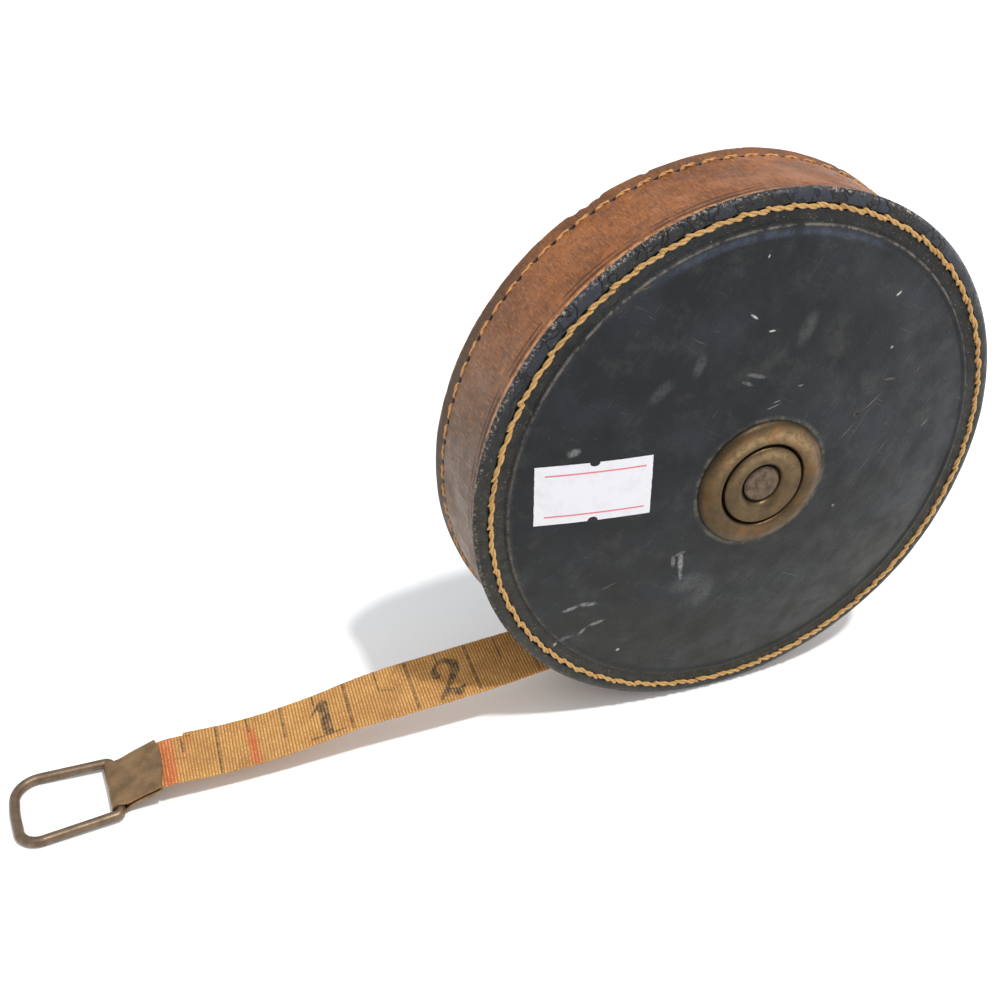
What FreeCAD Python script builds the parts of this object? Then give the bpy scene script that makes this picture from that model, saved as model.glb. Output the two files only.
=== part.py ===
"""Leather-cased winding tape measure, standing on its rim with a hand's width of tape pulled out.

The shapes are drawn in a case frame, in millimetres: the reel axis is Y, the middle of the
rim band is y = 0, the plain boss faces -Y, the winding handle faces +Y, and the tape leaves
towards -X near the bottom. Each shape is then moved so that the origin of the finished part
is the centre of its bounding box on the surface that it stands on.
"""
import FreeCAD
import Part
import math
import os

Vector = FreeCAD.Vector

# ---------------------------------------------------------------- driving dimensions
BAND_R = 54.0            # outside of the brown rim band
EDGE_R = 54.6            # front cover's edge and the band's flared back edge: it stands on both
BAND_HALF = 10.0         # half the band's width
BAND_T = 3.0             # band leather
COVER_T = 1.6            # cover leather
FLANGE_IN_R = 48.5       # inner edge of the band's turned-in front flange
FLANGE_T = 2.4
SEAM_R = 51.7            # front seam's circle
SEAM_Y = -11.4           # front cover's surface at the seam
FRONT_TOP_Y = 16.6       # crown of the front cover beside its boss, from y = 0
BACK_TOP_Y = 15.2        # crown of the back cover
SKIRT_DEPTH = 6.0        # back cover's turned-in skirt
RIM_SEAM_Y = 7.2         # seam that holds the skirt to the band
THREAD_R = 0.4

MOUTH_W = 14.8           # slot in the rim that the tape leaves by
MOUTH_H = 4.6
LINER_T = 0.45           # brass tube in the slot
LINER_PROUD = 0.3        # how far the tube stands out of the band, inside, and of the plate
PLATE_HALF_ARC = 10.6    # brass plate round the slot: half its length along the rim
PLATE_FRONT_Y = -8.6     # and its two edges across the rim
PLATE_BACK_Y = 8.0
PLATE_T = 0.5
THREAD_STOP = 1.0        # from the plate's ends to the ends of the rim thread
RIVET_R = 0.9
RIVET_HEAD_R = 1.6
RIVET_HEAD_T = 0.5
RIVET_ARC = 8.8          # from the middle of the slot to each rivet, along the rim

TAPE_W = 13.0
TAPE_T = 0.45
TAPE_SLOPE = 6.1         # degrees that the pulled-out tape drops towards its ring
TAPE_LINE_R = 38.6       # distance from the reel axis to the tape's straight line
COIL_GAP = 0.2           # between the wound coil and the tape that leaves it
CORE_R = 12.0
TACK_R = 0.6             # tack that holds the tape's inner end to the core

FLANGE_R = 46.0          # reel flanges
REEL_HALF = 6.9          # half the space between the reel flanges
REEL_FLANGE_T = 0.6

BOSS_R = 13.1            # plain boss, fixed domed ring
HUB_R = 8.1              # turning ring inside it
AXLE_R = 3.7
RUN_GAP = 0.05           # radial clearance of the turning fits
BOSS_BARREL_END_Y = -13.4   # inner end of the plain boss's flared barrel

WELL_R = 16.8            # cup of the winding hub
WELL_T = 1.3
WELL_FLOOR_Y = REEL_HALF + REEL_FLANGE_T + 1.3
COLLAR_OUT = 1.9         # how far the cup's thrust collar stands out from the cup
COLLAR_Y = 10.3
BACK_BOSS_R = 22.0
BACK_BARREL_END_Y = 10.7    # inner end of the back boss's flared barrel
HANDLE_Y = 17.2          # middle of the folded handle arm, and its hinge pin's middle
WELL_RIM_Y = HANDLE_Y - 0.3
HANDLE_T = 1.6
HANDLE_W = 7.0
SWING_CLEAR = 0.35       # round the arm in its slot
PIN_R = 0.7
PIN_HALF = 6.4
KNUCKLE_R = 1.25
EAR_X = 3.4              # ears that hold the hinge pin
EAR_Z = 3.0
EAR_R = 1.35
EAR_DROP = 4.2           # from the pin down to the foot of an ear
HINGE_X = 14.0           # hinge pin's distance from the reel axis
KNOB_X = -10.5           # folded knob's place, across the axis from the hinge
KNOB_R = 4.0
KNOB_L = 6.6
KNOB_GAP = 0.15          # between the knob and the arm
STUD_R = 1.2
STUD_HEAD_T = 0.6

BARREL_X = -121.5        # rolled end of the brass clip, which lies on the ground
BARREL_R = 1.5
WIRE_R = 0.95
RING_LENGTH = 17.8       # barrel to the far corners, wire centre to centre
RING_BOW = 0.5           # how far the far side bows out
RING_SKEW = 0.3          # how far the far side is bent towards the front
RING_HALF_NEAR = 7.05    # half width, wire centre to centre, at the clip
RING_HALF_FAR = 8.3      # and at the far end
CLIP_SHEET = 0.5
TUCK_U = 2.4             # how near the tape's end comes to the barrel's axis, inside the clip

STICKER_L = 21.8         # paper label, its middle and its turn about the reel axis in degrees
STICKER_W = 12.4
STICKER_T = 0.12
STICKER_X = -33.3
STICKER_Z = 3.7
STICKER_TURN = -1.0

GROUND_Z = -EDGE_R

# ---------------------------------------------------------------- the tape's straight line
SLOPE = math.radians(TAPE_SLOPE)
ALONG = Vector(-math.cos(SLOPE), 0, -math.sin(SLOPE))     # out of the case
OUTWARD = Vector(math.sin(SLOPE), 0, -math.cos(SLOPE))    # away from the reel axis
TANGENT_POINT = OUTWARD * TAPE_LINE_R
EXIT_T = math.sqrt(BAND_R**2 - TAPE_LINE_R**2)            # from the tangent point to the rim
EXIT_POINT = TANGENT_POINT + ALONG * EXIT_T
EXIT_ANGLE = math.degrees(math.atan2(-EXIT_POINT.z, EXIT_POINT.x))   # turn about +Y from +X
LEAD_END_T = 57.0        # where the flexing lead meets the stiff end of the tape
LEVEL_T = 104.0          # from here on the tape lies level
CLIP_MOUTH_X = -113.2    # where the level tape turns down into the clip
NARROW_X = -107.4        # from here on one edge of the tape is cut back
NARROW_BY = 0.9


def line_point(t):
    """The point at distance t along the tape's line."""
    return TANGENT_POINT + ALONG * t


# ---------------------------------------------------------------- helpers
def outline(start, *steps):
    """Closed wire in the XY plane. A step is a point, or (point on arc, end point)."""
    edges = []
    here = Vector(*start, 0)
    for step in steps:
        if isinstance(step[0], tuple):
            middle, end = Vector(*step[0], 0), Vector(*step[1], 0)
            edges.append(Part.Arc(here, middle, end).toShape())
        else:
            end = Vector(*step, 0)
            edges.append(Part.LineSegment(here, end).toShape())
        here = end
    first = Vector(*start, 0)
    if here.distanceToPoint(first) > 1e-6:
        edges.append(Part.LineSegment(here, first).toShape())
    return Part.Wire(edges)


def turned(start, *steps, degrees=360.0, first_degrees=0.0):
    """Solid of revolution about Y. The outline's points are (radius, y)."""
    face = Part.Face(outline(start, *steps))
    face.rotate(Vector(), Vector(0, 1, 0), first_degrees)
    return face.revolve(Vector(), Vector(0, 1, 0), degrees)


def ring(r_in, r_out, y0, y1):
    """Plain ring about Y."""
    return turned((r_in, y0), (r_out, y0), (r_out, y1), (r_in, y1))


def rod(radius, start, direction, length):
    return Part.makeCylinder(radius, length, start, direction)


def slab_along_tape(t0, t1, thickness, width):
    """Straight flat bar on the tape's line from t0 to t1."""
    centre_start = line_point(t0)
    half_t, half_w = OUTWARD * (thickness / 2), Vector(0, width / 2, 0)
    corners = [centre_start + half_t * a + half_w * b
               for a, b in ((-1, -1), (1, -1), (1, 1), (-1, 1))]
    face = Part.Face(Part.makePolygon(corners + corners[:1]))
    return face.extrude(ALONG * (t1 - t0))


def xz_prism(points, width):
    """Prism of an XZ outline, centred on y = 0."""
    corners = [Vector(x, -width / 2, z) for x, z in points]
    face = Part.Face(Part.makePolygon(corners + corners[:1]))
    return face.extrude(Vector(0, width, 0))


# ---------------------------------------------------------------- leather case
def front_cover():
    """Black leather disc: bevelled edge, seam groove, a ridge, and a crowned panel."""
    rear = -BAND_HALF
    panel_r, ridge_r = FLANGE_IN_R - 1.0, FLANGE_IN_R + 0.1
    hole = HUB_R + 1.6
    cover = turned(
        (EDGE_R, rear), (EDGE_R, rear - 0.3),
        ((EDGE_R - 0.9, SEAM_Y + 0.45), (SEAM_R + 1.0, SEAM_Y)), (SEAM_R - 1.2, SEAM_Y),
        ((ridge_r + 0.4, SEAM_Y - 0.35), (panel_r, SEAM_Y - 0.3)),
        ((panel_r * 0.55, -FRONT_TOP_Y + 1.0), (BOSS_R, -FRONT_TOP_Y)),
        (hole, -FRONT_TOP_Y), (hole, COVER_T - FRONT_TOP_Y), (BOSS_R, COVER_T - FRONT_TOP_Y),
        ((panel_r * 0.55, COVER_T + 1.0 - FRONT_TOP_Y), (panel_r - 1.6, rear)),
    )
    groove = Part.makeTorus(SEAM_R, THREAD_R + 0.02, Vector(0, SEAM_Y, 0), Vector(0, 1, 0))
    return cover.cut(groove)


def mouth_cutter(width, height):
    """Bar along the tape's line through the whole thickness of the rim."""
    return slab_along_tape(EXIT_T - 12, EXIT_T + 8, height, width)


def rim_band():
    """Brown leather band with a turned-in front flange and the tape's mouth cut through it."""
    inner = BAND_R - BAND_T
    band = turned(
        (FLANGE_IN_R, -BAND_HALF), (BAND_R, -BAND_HALF), (BAND_R, RIM_SEAM_Y + 0.8),
        (EDGE_R, BAND_HALF - 0.5), (EDGE_R - 0.3, BAND_HALF),
        (inner, BAND_HALF), (inner, FLANGE_T - BAND_HALF),
        (FLANGE_IN_R, FLANGE_T - BAND_HALF),
    )
    groove = Part.makeTorus(BAND_R, THREAD_R + 0.02, Vector(0, RIM_SEAM_Y, 0), Vector(0, 1, 0))
    band = band.cut(groove).cut(mouth_cutter(MOUTH_W, MOUTH_H))
    for rivet in rivet_places():
        band = band.cut(rod(RIVET_R, rivet * 50, rivet, 5))
    return band


def back_cover():
    """Black leather pan: a crowned disc with a skirt that the rim seam goes through."""
    skirt_out = BAND_R - BAND_T - 0.02
    skirt_in = skirt_out - COVER_T
    top = BAND_HALF
    hole = WELL_R + 1.1
    flat_r = BACK_BOSS_R - 1.0
    pan = turned(
        (skirt_out, top - SKIRT_DEPTH), (skirt_out, top), ((skirt_out - 0.4, top + 0.6),
        (skirt_out - 1.4, top + 0.9)),
        ((flat_r * 1.65, BACK_TOP_Y - 1.3), (flat_r, BACK_TOP_Y)),
        (hole, BACK_TOP_Y), (hole, BACK_TOP_Y - COVER_T), (BACK_BOSS_R, BACK_TOP_Y - COVER_T),
        ((flat_r * 1.65, BACK_TOP_Y - 1.3 - COVER_T), (skirt_in, top - 0.7)),
        (skirt_in, top - SKIRT_DEPTH),
    )
    return pan.cut(mouth_cutter(MOUTH_W, MOUTH_H))


def front_seam_thread():
    return Part.makeTorus(SEAM_R, THREAD_R, Vector(0, SEAM_Y, 0), Vector(0, 1, 0))


def rim_seam_thread():
    """Thread round the rim, from one side of the mouth plate to the other."""
    half_gap = math.degrees((PLATE_HALF_ARC + THREAD_STOP) / BAND_R)
    circle = Part.Wire(Part.makeCircle(THREAD_R, Vector(BAND_R, RIM_SEAM_Y, 0), Vector(0, 0, 1)))
    face = Part.Face(circle)
    face.rotate(Vector(), Vector(0, 1, 0), EXIT_ANGLE + half_gap)
    return face.revolve(Vector(), Vector(0, 1, 0), 360 - 2 * half_gap)


# ---------------------------------------------------------------- mouth fittings
def rivet_places():
    """Outward directions of the mouth plate's two rivets."""
    turns = [math.radians(EXIT_ANGLE) + side * RIVET_ARC / BAND_R for side in (-1, 1)]
    return [Vector(math.cos(a), 0, -math.sin(a)) for a in turns]


def mouth_plate():
    """Curved brass plate on the rim around the mouth."""
    half = math.degrees(PLATE_HALF_ARC / BAND_R)
    face = Part.Face(outline(
        (BAND_R, PLATE_FRONT_Y), (BAND_R + PLATE_T, PLATE_FRONT_Y + 0.3),
        (BAND_R + PLATE_T, PLATE_BACK_Y - 0.3), (BAND_R, PLATE_BACK_Y)))
    face.rotate(Vector(), Vector(0, 1, 0), EXIT_ANGLE - half)
    plate = face.revolve(Vector(), Vector(0, 1, 0), 2 * half)
    plate = plate.cut(mouth_cutter(MOUTH_W, MOUTH_H))
    for rivet in rivet_places():
        plate = plate.cut(rod(RIVET_R, rivet * 50, rivet, 8))
    return plate


def mouth_liner():
    """Rectangular brass tube in the mouth, trimmed to follow the rim inside and out."""
    tube = mouth_cutter(MOUTH_W - 0.04, MOUTH_H - 0.04)
    tube = tube.cut(mouth_cutter(MOUTH_W - 2 * LINER_T, MOUTH_H - 2 * LINER_T))
    inner, outer = BAND_R - BAND_T - LINER_PROUD, BAND_R + PLATE_T + LINER_PROUD
    keep = ring(inner, outer, -MOUTH_W, MOUTH_W)
    return tube.common(keep)


def mouth_rivets():
    """Two brass rivets, headed outside, clenched inside the band."""
    made = []
    for rivet in rivet_places():
        inner, outer = BAND_R - BAND_T, BAND_R + PLATE_T
        shank = rod(RIVET_R - 0.02, rivet * (inner - 0.3), rivet, outer - inner + 0.6)
        head = rod(RIVET_HEAD_R, rivet * (outer + 0.02), rivet, RIVET_HEAD_T)
        made.append(shank.fuse(head).removeSplitter())
    return Part.Compound(made)


# ---------------------------------------------------------------- plain boss, front
def front_boss_ring():
    """Domed brass eyelet fixed in the front cover, its barrel flared inside."""
    base = -FRONT_TOP_Y - 0.02
    crest = base - 1.6
    mouth, bore, barrel = HUB_R + 0.45, HUB_R + RUN_GAP, HUB_R + 1.5
    return turned(
        (BOSS_R, base), ((BOSS_R - 0.35, base - 0.65), (BOSS_R - 1.5, base - 1.25)),
        ((BOSS_R - 2.0, crest + 0.1), (BOSS_R - 2.6, crest)), (BOSS_R - 3.4, crest),
        ((mouth + 0.35, crest + 0.2), (mouth, base - 0.9)), (mouth, base), (bore, base + 0.4),
        (bore, BOSS_BARREL_END_Y), (barrel + 1.2, BOSS_BARREL_END_Y),
        (barrel + 1.2, BOSS_BARREL_END_Y - 0.45), (barrel, BOSS_BARREL_END_Y - 0.6), (barrel, base),
    )


def front_boss_washer():
    """Brass washer between the front cover and the flared barrel."""
    return ring(HUB_R + 1.55, BOSS_R, COVER_T - FRONT_TOP_Y + 0.02, BOSS_BARREL_END_Y - 0.65)


def front_hub():
    """Turning brass ring with a hollowed face, on a sleeve with the reel's thrust collar."""
    face_y = -FRONT_TOP_Y - 1.5
    step_y = face_y + 1.1
    bore = AXLE_R + 0.01
    collar_r = HUB_R + 2.8
    return turned(
        (HUB_R - 0.3, face_y), (HUB_R, face_y + 0.3), (HUB_R, BOSS_BARREL_END_Y + 0.3),
        (collar_r, BOSS_BARREL_END_Y + 0.3), (collar_r, -REEL_HALF - REEL_FLANGE_T),
        (bore, -REEL_HALF - REEL_FLANGE_T), (bore, step_y + 0.3), (AXLE_R + 0.3, step_y),
        ((AXLE_R + 0.75, face_y + 0.45), (AXLE_R + 1.7, face_y)),
    )


# ---------------------------------------------------------------- reel
def axle():
    """Steel spindle through the reel, riveted over in the floor of the winding hub."""
    end_y = -FRONT_TOP_Y - 0.9
    floor = WELL_FLOOR_Y
    return turned(
        (0, end_y), (AXLE_R - 0.4, end_y), (AXLE_R - 0.05, end_y + 0.3),
        (AXLE_R - 0.05, floor + 0.02), (AXLE_R + 1.2, floor + 0.02),
        ((AXLE_R + 0.9, floor + 0.6), (AXLE_R, floor + 0.9)), (0, floor + 0.9),
    )


def reel_core():
    """Turned wooden core that the tape is wound on, with a hole for the anchor tack."""
    core = ring(AXLE_R, CORE_R, -REEL_HALF, REEL_HALF)
    return core.cut(rod(TACK_R + 0.02, Vector(AXLE_R + 1.5, 0, 0), Vector(1, 0, 0), CORE_R))


def anchor_tack():
    """Brass tack that holds the tape's inner end to the core, its head flush."""
    return rod(TACK_R, Vector(AXLE_R + 2.5, 0, 0), Vector(1, 0, 0), CORE_R - AXLE_R - 2.6)


def reel_flange(side):
    """Thin tinplate disc that guides one edge of the coil. side is -1 at the front."""
    near, far = side * REEL_HALF, side * (REEL_HALF + REEL_FLANGE_T)
    return ring(AXLE_R, FLANGE_R, min(near, far), max(near, far))


def tape_coil():
    coil_r = TAPE_LINE_R - TAPE_T / 2 - COIL_GAP
    return ring(CORE_R + 0.02, coil_r, -TAPE_W / 2, TAPE_W / 2)


# ---------------------------------------------------------------- winding side, back
def winding_hub():
    """Brass cup that turns the reel; the folded handle lies across it, its knob inside."""
    base = REEL_HALF + REEL_FLANGE_T
    inner = WELL_R - WELL_T
    collar_r = WELL_R + COLLAR_OUT
    cup = turned(
        (AXLE_R, base), (collar_r, base), (collar_r, COLLAR_Y), (WELL_R, COLLAR_Y),
        (WELL_R, WELL_RIM_Y - 0.4), (WELL_R - 0.4, WELL_RIM_Y), (inner, WELL_RIM_Y),
        (inner, WELL_FLOOR_Y), (AXLE_R, WELL_FLOOR_Y),
    )
    slot_half = HANDLE_W / 2 + SWING_CLEAR
    slot_base = HANDLE_Y - HANDLE_T / 2 - SWING_CLEAR
    slot = Part.makeBox(WELL_R, 10, 2 * slot_half, Vector(1, slot_base, -slot_half))
    pin_hole = rod(PIN_R + 0.01, Vector(HINGE_X, HANDLE_Y, -PIN_HALF), Vector(0, 0, 1),
                   2 * PIN_HALF)
    ears = hinge_ears().common(ring(0, WELL_R, WELL_FLOOR_Y, 2 * WELL_R))
    return cup.fuse(ears).removeSplitter().cut(slot).cut(pin_hole)


def hinge_ears():
    """Ears inside the cup's wall, one each side of the handle, that hold the hinge pin."""
    ear_z = HANDLE_W / 2 + SWING_CLEAR
    foot = Vector(HINGE_X - EAR_R, HANDLE_Y - EAR_DROP, 0)
    made = []
    for z in (ear_z, -ear_z - EAR_Z):
        post = Part.makeBox(EAR_X, EAR_DROP, EAR_Z, foot + Vector(0, 0, z))
        eye = rod(EAR_R, Vector(HINGE_X, HANDLE_Y, z), Vector(0, 0, 1), EAR_Z)
        made.append(post.fuse(eye))
    return made[0].fuse(made[1])


def hinge_pin():
    return rod(PIN_R, Vector(HINGE_X, HANDLE_Y, -PIN_HALF), Vector(0, 0, 1), 2 * PIN_HALF)


def back_boss_ring():
    """Brass ring fixed in the back cover, the bearing of the winding hub."""
    base = BACK_TOP_Y + 0.02
    bore = WELL_R + RUN_GAP
    barrel = bore + 0.9
    inside = BACK_BARREL_END_Y
    return turned(
        (BACK_BOSS_R, base), ((BACK_BOSS_R - 0.6, base + 0.5), (BACK_BOSS_R - 2.4, base + 0.75)),
        (bore + 0.5, base + 0.5), (bore, base + 0.2), (bore, inside),
        (barrel + 1.0, inside), (barrel + 1.0, inside + 0.5), (barrel, inside + 0.6),
        (barrel, base),
    )


def back_boss_washer():
    near, far = BACK_BARREL_END_Y + 0.65, BACK_TOP_Y - 0.02 - COVER_T
    return ring(WELL_R + RUN_GAP + 0.95, BACK_BOSS_R, near, far)


def handle_arm():
    """Folding brass crank arm: a knuckle on the hinge pin, and a round end for the knob."""
    low = HANDLE_Y - HANDLE_T / 2
    end_r = HANDLE_W / 2 + 0.8
    arm = Part.makeBox(HINGE_X - KNOB_X, HANDLE_T, HANDLE_W, Vector(KNOB_X, low, -HANDLE_W / 2))
    arm = arm.fuse(rod(end_r, Vector(KNOB_X, low, 0), Vector(0, 1, 0), HANDLE_T))
    knuckle = rod(KNUCKLE_R, Vector(HINGE_X, HANDLE_Y, -HANDLE_W / 2), Vector(0, 0, 1), HANDLE_W)
    arm = arm.fuse(knuckle).removeSplitter()
    bore = rod(PIN_R + 0.03, Vector(HINGE_X, HANDLE_Y, -HANDLE_W), Vector(0, 0, 1), 2 * HANDLE_W)
    stud_hole = rod(STUD_R, Vector(KNOB_X, low - 1, 0), Vector(0, 1, 0), HANDLE_T + 2)
    return arm.cut(bore).cut(stud_hole)


def knob_stud():
    """Rivet fixed in the arm; its shank carries the knob, and its head keeps the knob on."""
    top = HANDLE_Y + HANDLE_T / 2
    low = HANDLE_Y - HANDLE_T / 2
    cup_y = low - KNOB_GAP - KNOB_L + 1.0
    return turned(
        (0, top + 0.45), (STUD_R, top + 0.45), ((STUD_R + 0.65, top + 0.3), (STUD_R + 0.9, top)),
        (STUD_R - 0.01, top), (STUD_R - 0.01, cup_y), (STUD_R + 0.8, cup_y),
        (STUD_R + 0.8, cup_y - STUD_HEAD_T), (0, cup_y - STUD_HEAD_T),
    ).translated(Vector(KNOB_X, 0, 0))


def winding_knob():
    """Turned brass knob, waisted, free to turn on the stud."""
    top = HANDLE_Y - HANDLE_T / 2 - KNOB_GAP
    end = top - KNOB_L
    bore = STUD_R + 0.04
    return turned(
        (bore, top), (2.6, top), ((2.3, top - 1.6), (3.0, top - 3.0)),
        ((KNOB_R, top - 4.6), (KNOB_R - 0.6, end)), (STUD_R + 0.95, end),
        (STUD_R + 0.95, end + 1.05), (bore, end + 1.05),
    ).translated(Vector(KNOB_X, 0, 0))


# ---------------------------------------------------------------- pulled-out tape
def tape_lead():
    """Tape between the coil and the stiff end, which winds on and off the reel."""
    return slab_along_tape(0.0, LEAD_END_T - 0.02, TAPE_T, TAPE_W)


BARREL = Vector(BARREL_X, 0, GROUND_Z + BARREL_R)
LEVEL_START = line_point(LEVEL_T)
CLIP_BEND = Vector(CLIP_MOUTH_X, 0, LEVEL_START.z)
CLIP_LENGTH = (CLIP_BEND - BARREL).Length
CLIP_DIR = (CLIP_BEND - BARREL).normalize()
CLIP_UP = Vector(-CLIP_DIR.z, 0, CLIP_DIR.x)


def clip_xz(u, w):
    """XZ place at u along the clip from its barrel and w above its middle plane."""
    p = BARREL + CLIP_DIR * u + CLIP_UP * w
    return (p.x, p.z)


def tape_free_end():
    """Stiff end of the tape: down the slope, level, then down into the clip."""
    half, start = TAPE_T / 2, line_point(LEAD_END_T)
    upper = [(p.x, p.z) for p in (start - OUTWARD * half, LEVEL_START - OUTWARD * half)]
    upper += [(CLIP_BEND.x, CLIP_BEND.z + half), clip_xz(TUCK_U, half)]
    lower = [(p.x, p.z) for p in (start + OUTWARD * half, LEVEL_START + OUTWARD * half)]
    lower += [(CLIP_BEND.x, CLIP_BEND.z - half), clip_xz(TUCK_U, -half)]
    tape = xz_prism(upper + lower[::-1], TAPE_W)
    cut_back = Part.makeBox(40, 5, 30, Vector(NARROW_X - 40, TAPE_W / 2 - NARROW_BY, GROUND_Z - 5))
    tucked = Part.makeBox(40, 5, 30, Vector(CLIP_MOUTH_X - 40, -TAPE_W / 2 - 5 + NARROW_BY,
                                            GROUND_Z - 5))
    return tape.cut(cut_back).cut(tucked)


def end_clip():
    """Brass sheet folded round the tape's end, with a rolled barrel for the ring's wire."""
    gap = TAPE_T / 2 + 0.02
    outer = gap + CLIP_SHEET
    mouth_u = CLIP_LENGTH - 0.3
    half_mouth, half_barrel = TAPE_W / 2 + 0.1, RING_HALF_NEAR - WIRE_R - 0.25
    body = xz_prism([clip_xz(0.9, -outer), clip_xz(mouth_u, -outer), clip_xz(mouth_u, outer),
                     clip_xz(0.9, outer)], 2 * half_mouth)
    hollow = xz_prism([clip_xz(TUCK_U - 0.2, -gap), clip_xz(mouth_u + 2, -gap),
                       clip_xz(mouth_u + 2, gap), clip_xz(TUCK_U - 0.2, gap)], TAPE_W)
    near, far = BARREL.x + 1, BARREL.x + mouth_u
    plan = [(near - 4, -half_barrel), (near, -half_barrel), (far, -half_mouth),
            (far, half_mouth), (near, half_barrel), (near - 4, half_barrel)]
    corners = [Vector(x, y, GROUND_Z - 5) for x, y in plan]
    taper = Part.Face(Part.makePolygon(corners + corners[:1])).extrude(Vector(0, 0, 30))
    tube = rod(BARREL_R, BARREL - Vector(0, half_barrel, 0), Vector(0, 1, 0), 2 * half_barrel)
    bore = rod(WIRE_R + 0.06, BARREL - Vector(0, 20, 0), Vector(0, 1, 0), 40)
    return body.fuse(tube).common(taper).removeSplitter().cut(hollow).cut(bore)


def pull_ring():
    """Closed loop of round brass wire, one side of it through the clip's barrel."""
    tilt = math.asin((BARREL_R - WIRE_R) / RING_LENGTH)
    corners = [(0, -RING_HALF_NEAR, 1.15), (RING_LENGTH, -RING_HALF_FAR - RING_SKEW, 3.6),
               (RING_LENGTH + RING_BOW, 0, 25.0), (RING_LENGTH, RING_HALF_FAR - RING_SKEW, 4.8),
               (0, RING_HALF_NEAR, 1.15)]
    profile = Part.Wire(Part.makeCircle(WIRE_R, Vector(0, 0, 0), Vector(0, 1, 0)))
    solid = rounded_loop(corners).makePipeShell([profile], True, False)
    solid.rotate(Vector(), Vector(0, 1, 0), 180 - math.degrees(tilt))
    solid.translate(BARREL)
    return solid


def rounded_loop(corners):
    """Closed wire in the XY plane through (x, y, radius) corners, each rounded; it starts at
    the middle of the side between the last corner and the first."""
    count = len(corners)
    points = [Vector(x, y, 0) for x, y, _ in corners]
    start = (points[-1] + points[0]) * 0.5
    edges, here = [], start
    for i, (_, _, radius) in enumerate(corners):
        corner, before, after = points[i], points[i - 1], points[(i + 1) % count]
        to_before, to_after = (before - corner).normalize(), (after - corner).normalize()
        half_angle = to_before.getAngle(to_after) / 2
        reach = radius / math.tan(half_angle)
        enter, leave = corner + to_before * reach, corner + to_after * reach
        inward = (to_before + to_after).normalize()
        middle = corner + inward * (radius / math.sin(half_angle) - radius)
        edges.append(Part.LineSegment(here, enter).toShape())
        edges.append(Part.Arc(enter, middle, leave).toShape())
        here = leave
    edges.append(Part.LineSegment(here, start).toShape())
    return Part.Wire(edges)


# ---------------------------------------------------------------- sticker
def price_sticker():
    """Small paper label lying on the crowned front cover, left of the boss."""
    block = Part.makeBox(STICKER_L, 30, STICKER_W, Vector(-STICKER_L / 2, -25, -STICKER_W / 2))
    block.rotate(Vector(), Vector(0, 1, 0), STICKER_TURN)
    block.translate(Vector(STICKER_X, 0, STICKER_Z))
    panel_r = FLANGE_IN_R - 1.0
    shell = turned(
        (panel_r, SEAM_Y - 0.3), ((panel_r * 0.55, -FRONT_TOP_Y + 1.0), (BOSS_R, -FRONT_TOP_Y)),
        (BOSS_R, -FRONT_TOP_Y - STICKER_T),
        ((panel_r * 0.55, 1.0 - FRONT_TOP_Y - STICKER_T), (panel_r, SEAM_Y - 0.3 - STICKER_T)),
    )
    return block.common(shell)


# ---------------------------------------------------------------- the whole part
NODES = {
    "front_cover": front_cover,
    "rim_band": rim_band,
    "back_cover": back_cover,
    "front_seam_thread": front_seam_thread,
    "rim_seam_thread": rim_seam_thread,
    "mouth_plate": mouth_plate,
    "mouth_liner": mouth_liner,
    "mouth_rivets": mouth_rivets,
    "front_boss_ring": front_boss_ring,
    "front_boss_washer": front_boss_washer,
    "front_hub": front_hub,
    "axle": axle,
    "reel_core": reel_core,
    "anchor_tack": anchor_tack,
    "front_reel_flange": lambda: reel_flange(-1),
    "back_reel_flange": lambda: reel_flange(1),
    "tape_coil": tape_coil,
    "winding_hub": winding_hub,
    "hinge_pin": hinge_pin,
    "back_boss_ring": back_boss_ring,
    "back_boss_washer": back_boss_washer,
    "handle_arm": handle_arm,
    "knob_stud": knob_stud,
    "winding_knob": winding_knob,
    "tape_lead": tape_lead,
    "tape_free_end": tape_free_end,
    "end_clip": end_clip,
    "pull_ring": pull_ring,
    "price_sticker": price_sticker,
}


def build():
    """Every node's shape in the case frame."""
    return {name: make() for name, make in NODES.items()}


def row_shift(shapes):
    """Move that puts the origin at the centre of the bounding box's bottom face."""
    box = FreeCAD.BoundBox()
    for shape in shapes.values():
        box.add(shape.optimalBoundingBox(False, False))
    return Vector(-box.Center.x, -box.Center.y, -GROUND_Z)


def main():
    os.makedirs("parts", exist_ok=True)
    shapes = build()
    shift = row_shift(shapes)
    for name, shape in shapes.items():
        assert shape.isValid() and shape.Volume > 0, name
        print(f"{name:20s} {len(shape.Solids)} solid(s) {shape.Volume:10.1f} mm3")
        shape.translated(shift).exportStep(f"parts/{name}.step")
    print("case frame to part frame:", [round(x, 4) for x in shift])


if __name__ == "__main__":
    main()
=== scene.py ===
"""Looks of the leather-cased winding tape measure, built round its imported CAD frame.

Shapes are drawn in millimetres from the reel axis at the middle of the rim band: x to the
right, y away from the plain boss, z up. place() puts them in the frame, in metres.
"""
import cmath
import math
import random

import bmesh
import bpy
import numpy as np
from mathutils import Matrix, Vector, noise


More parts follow.
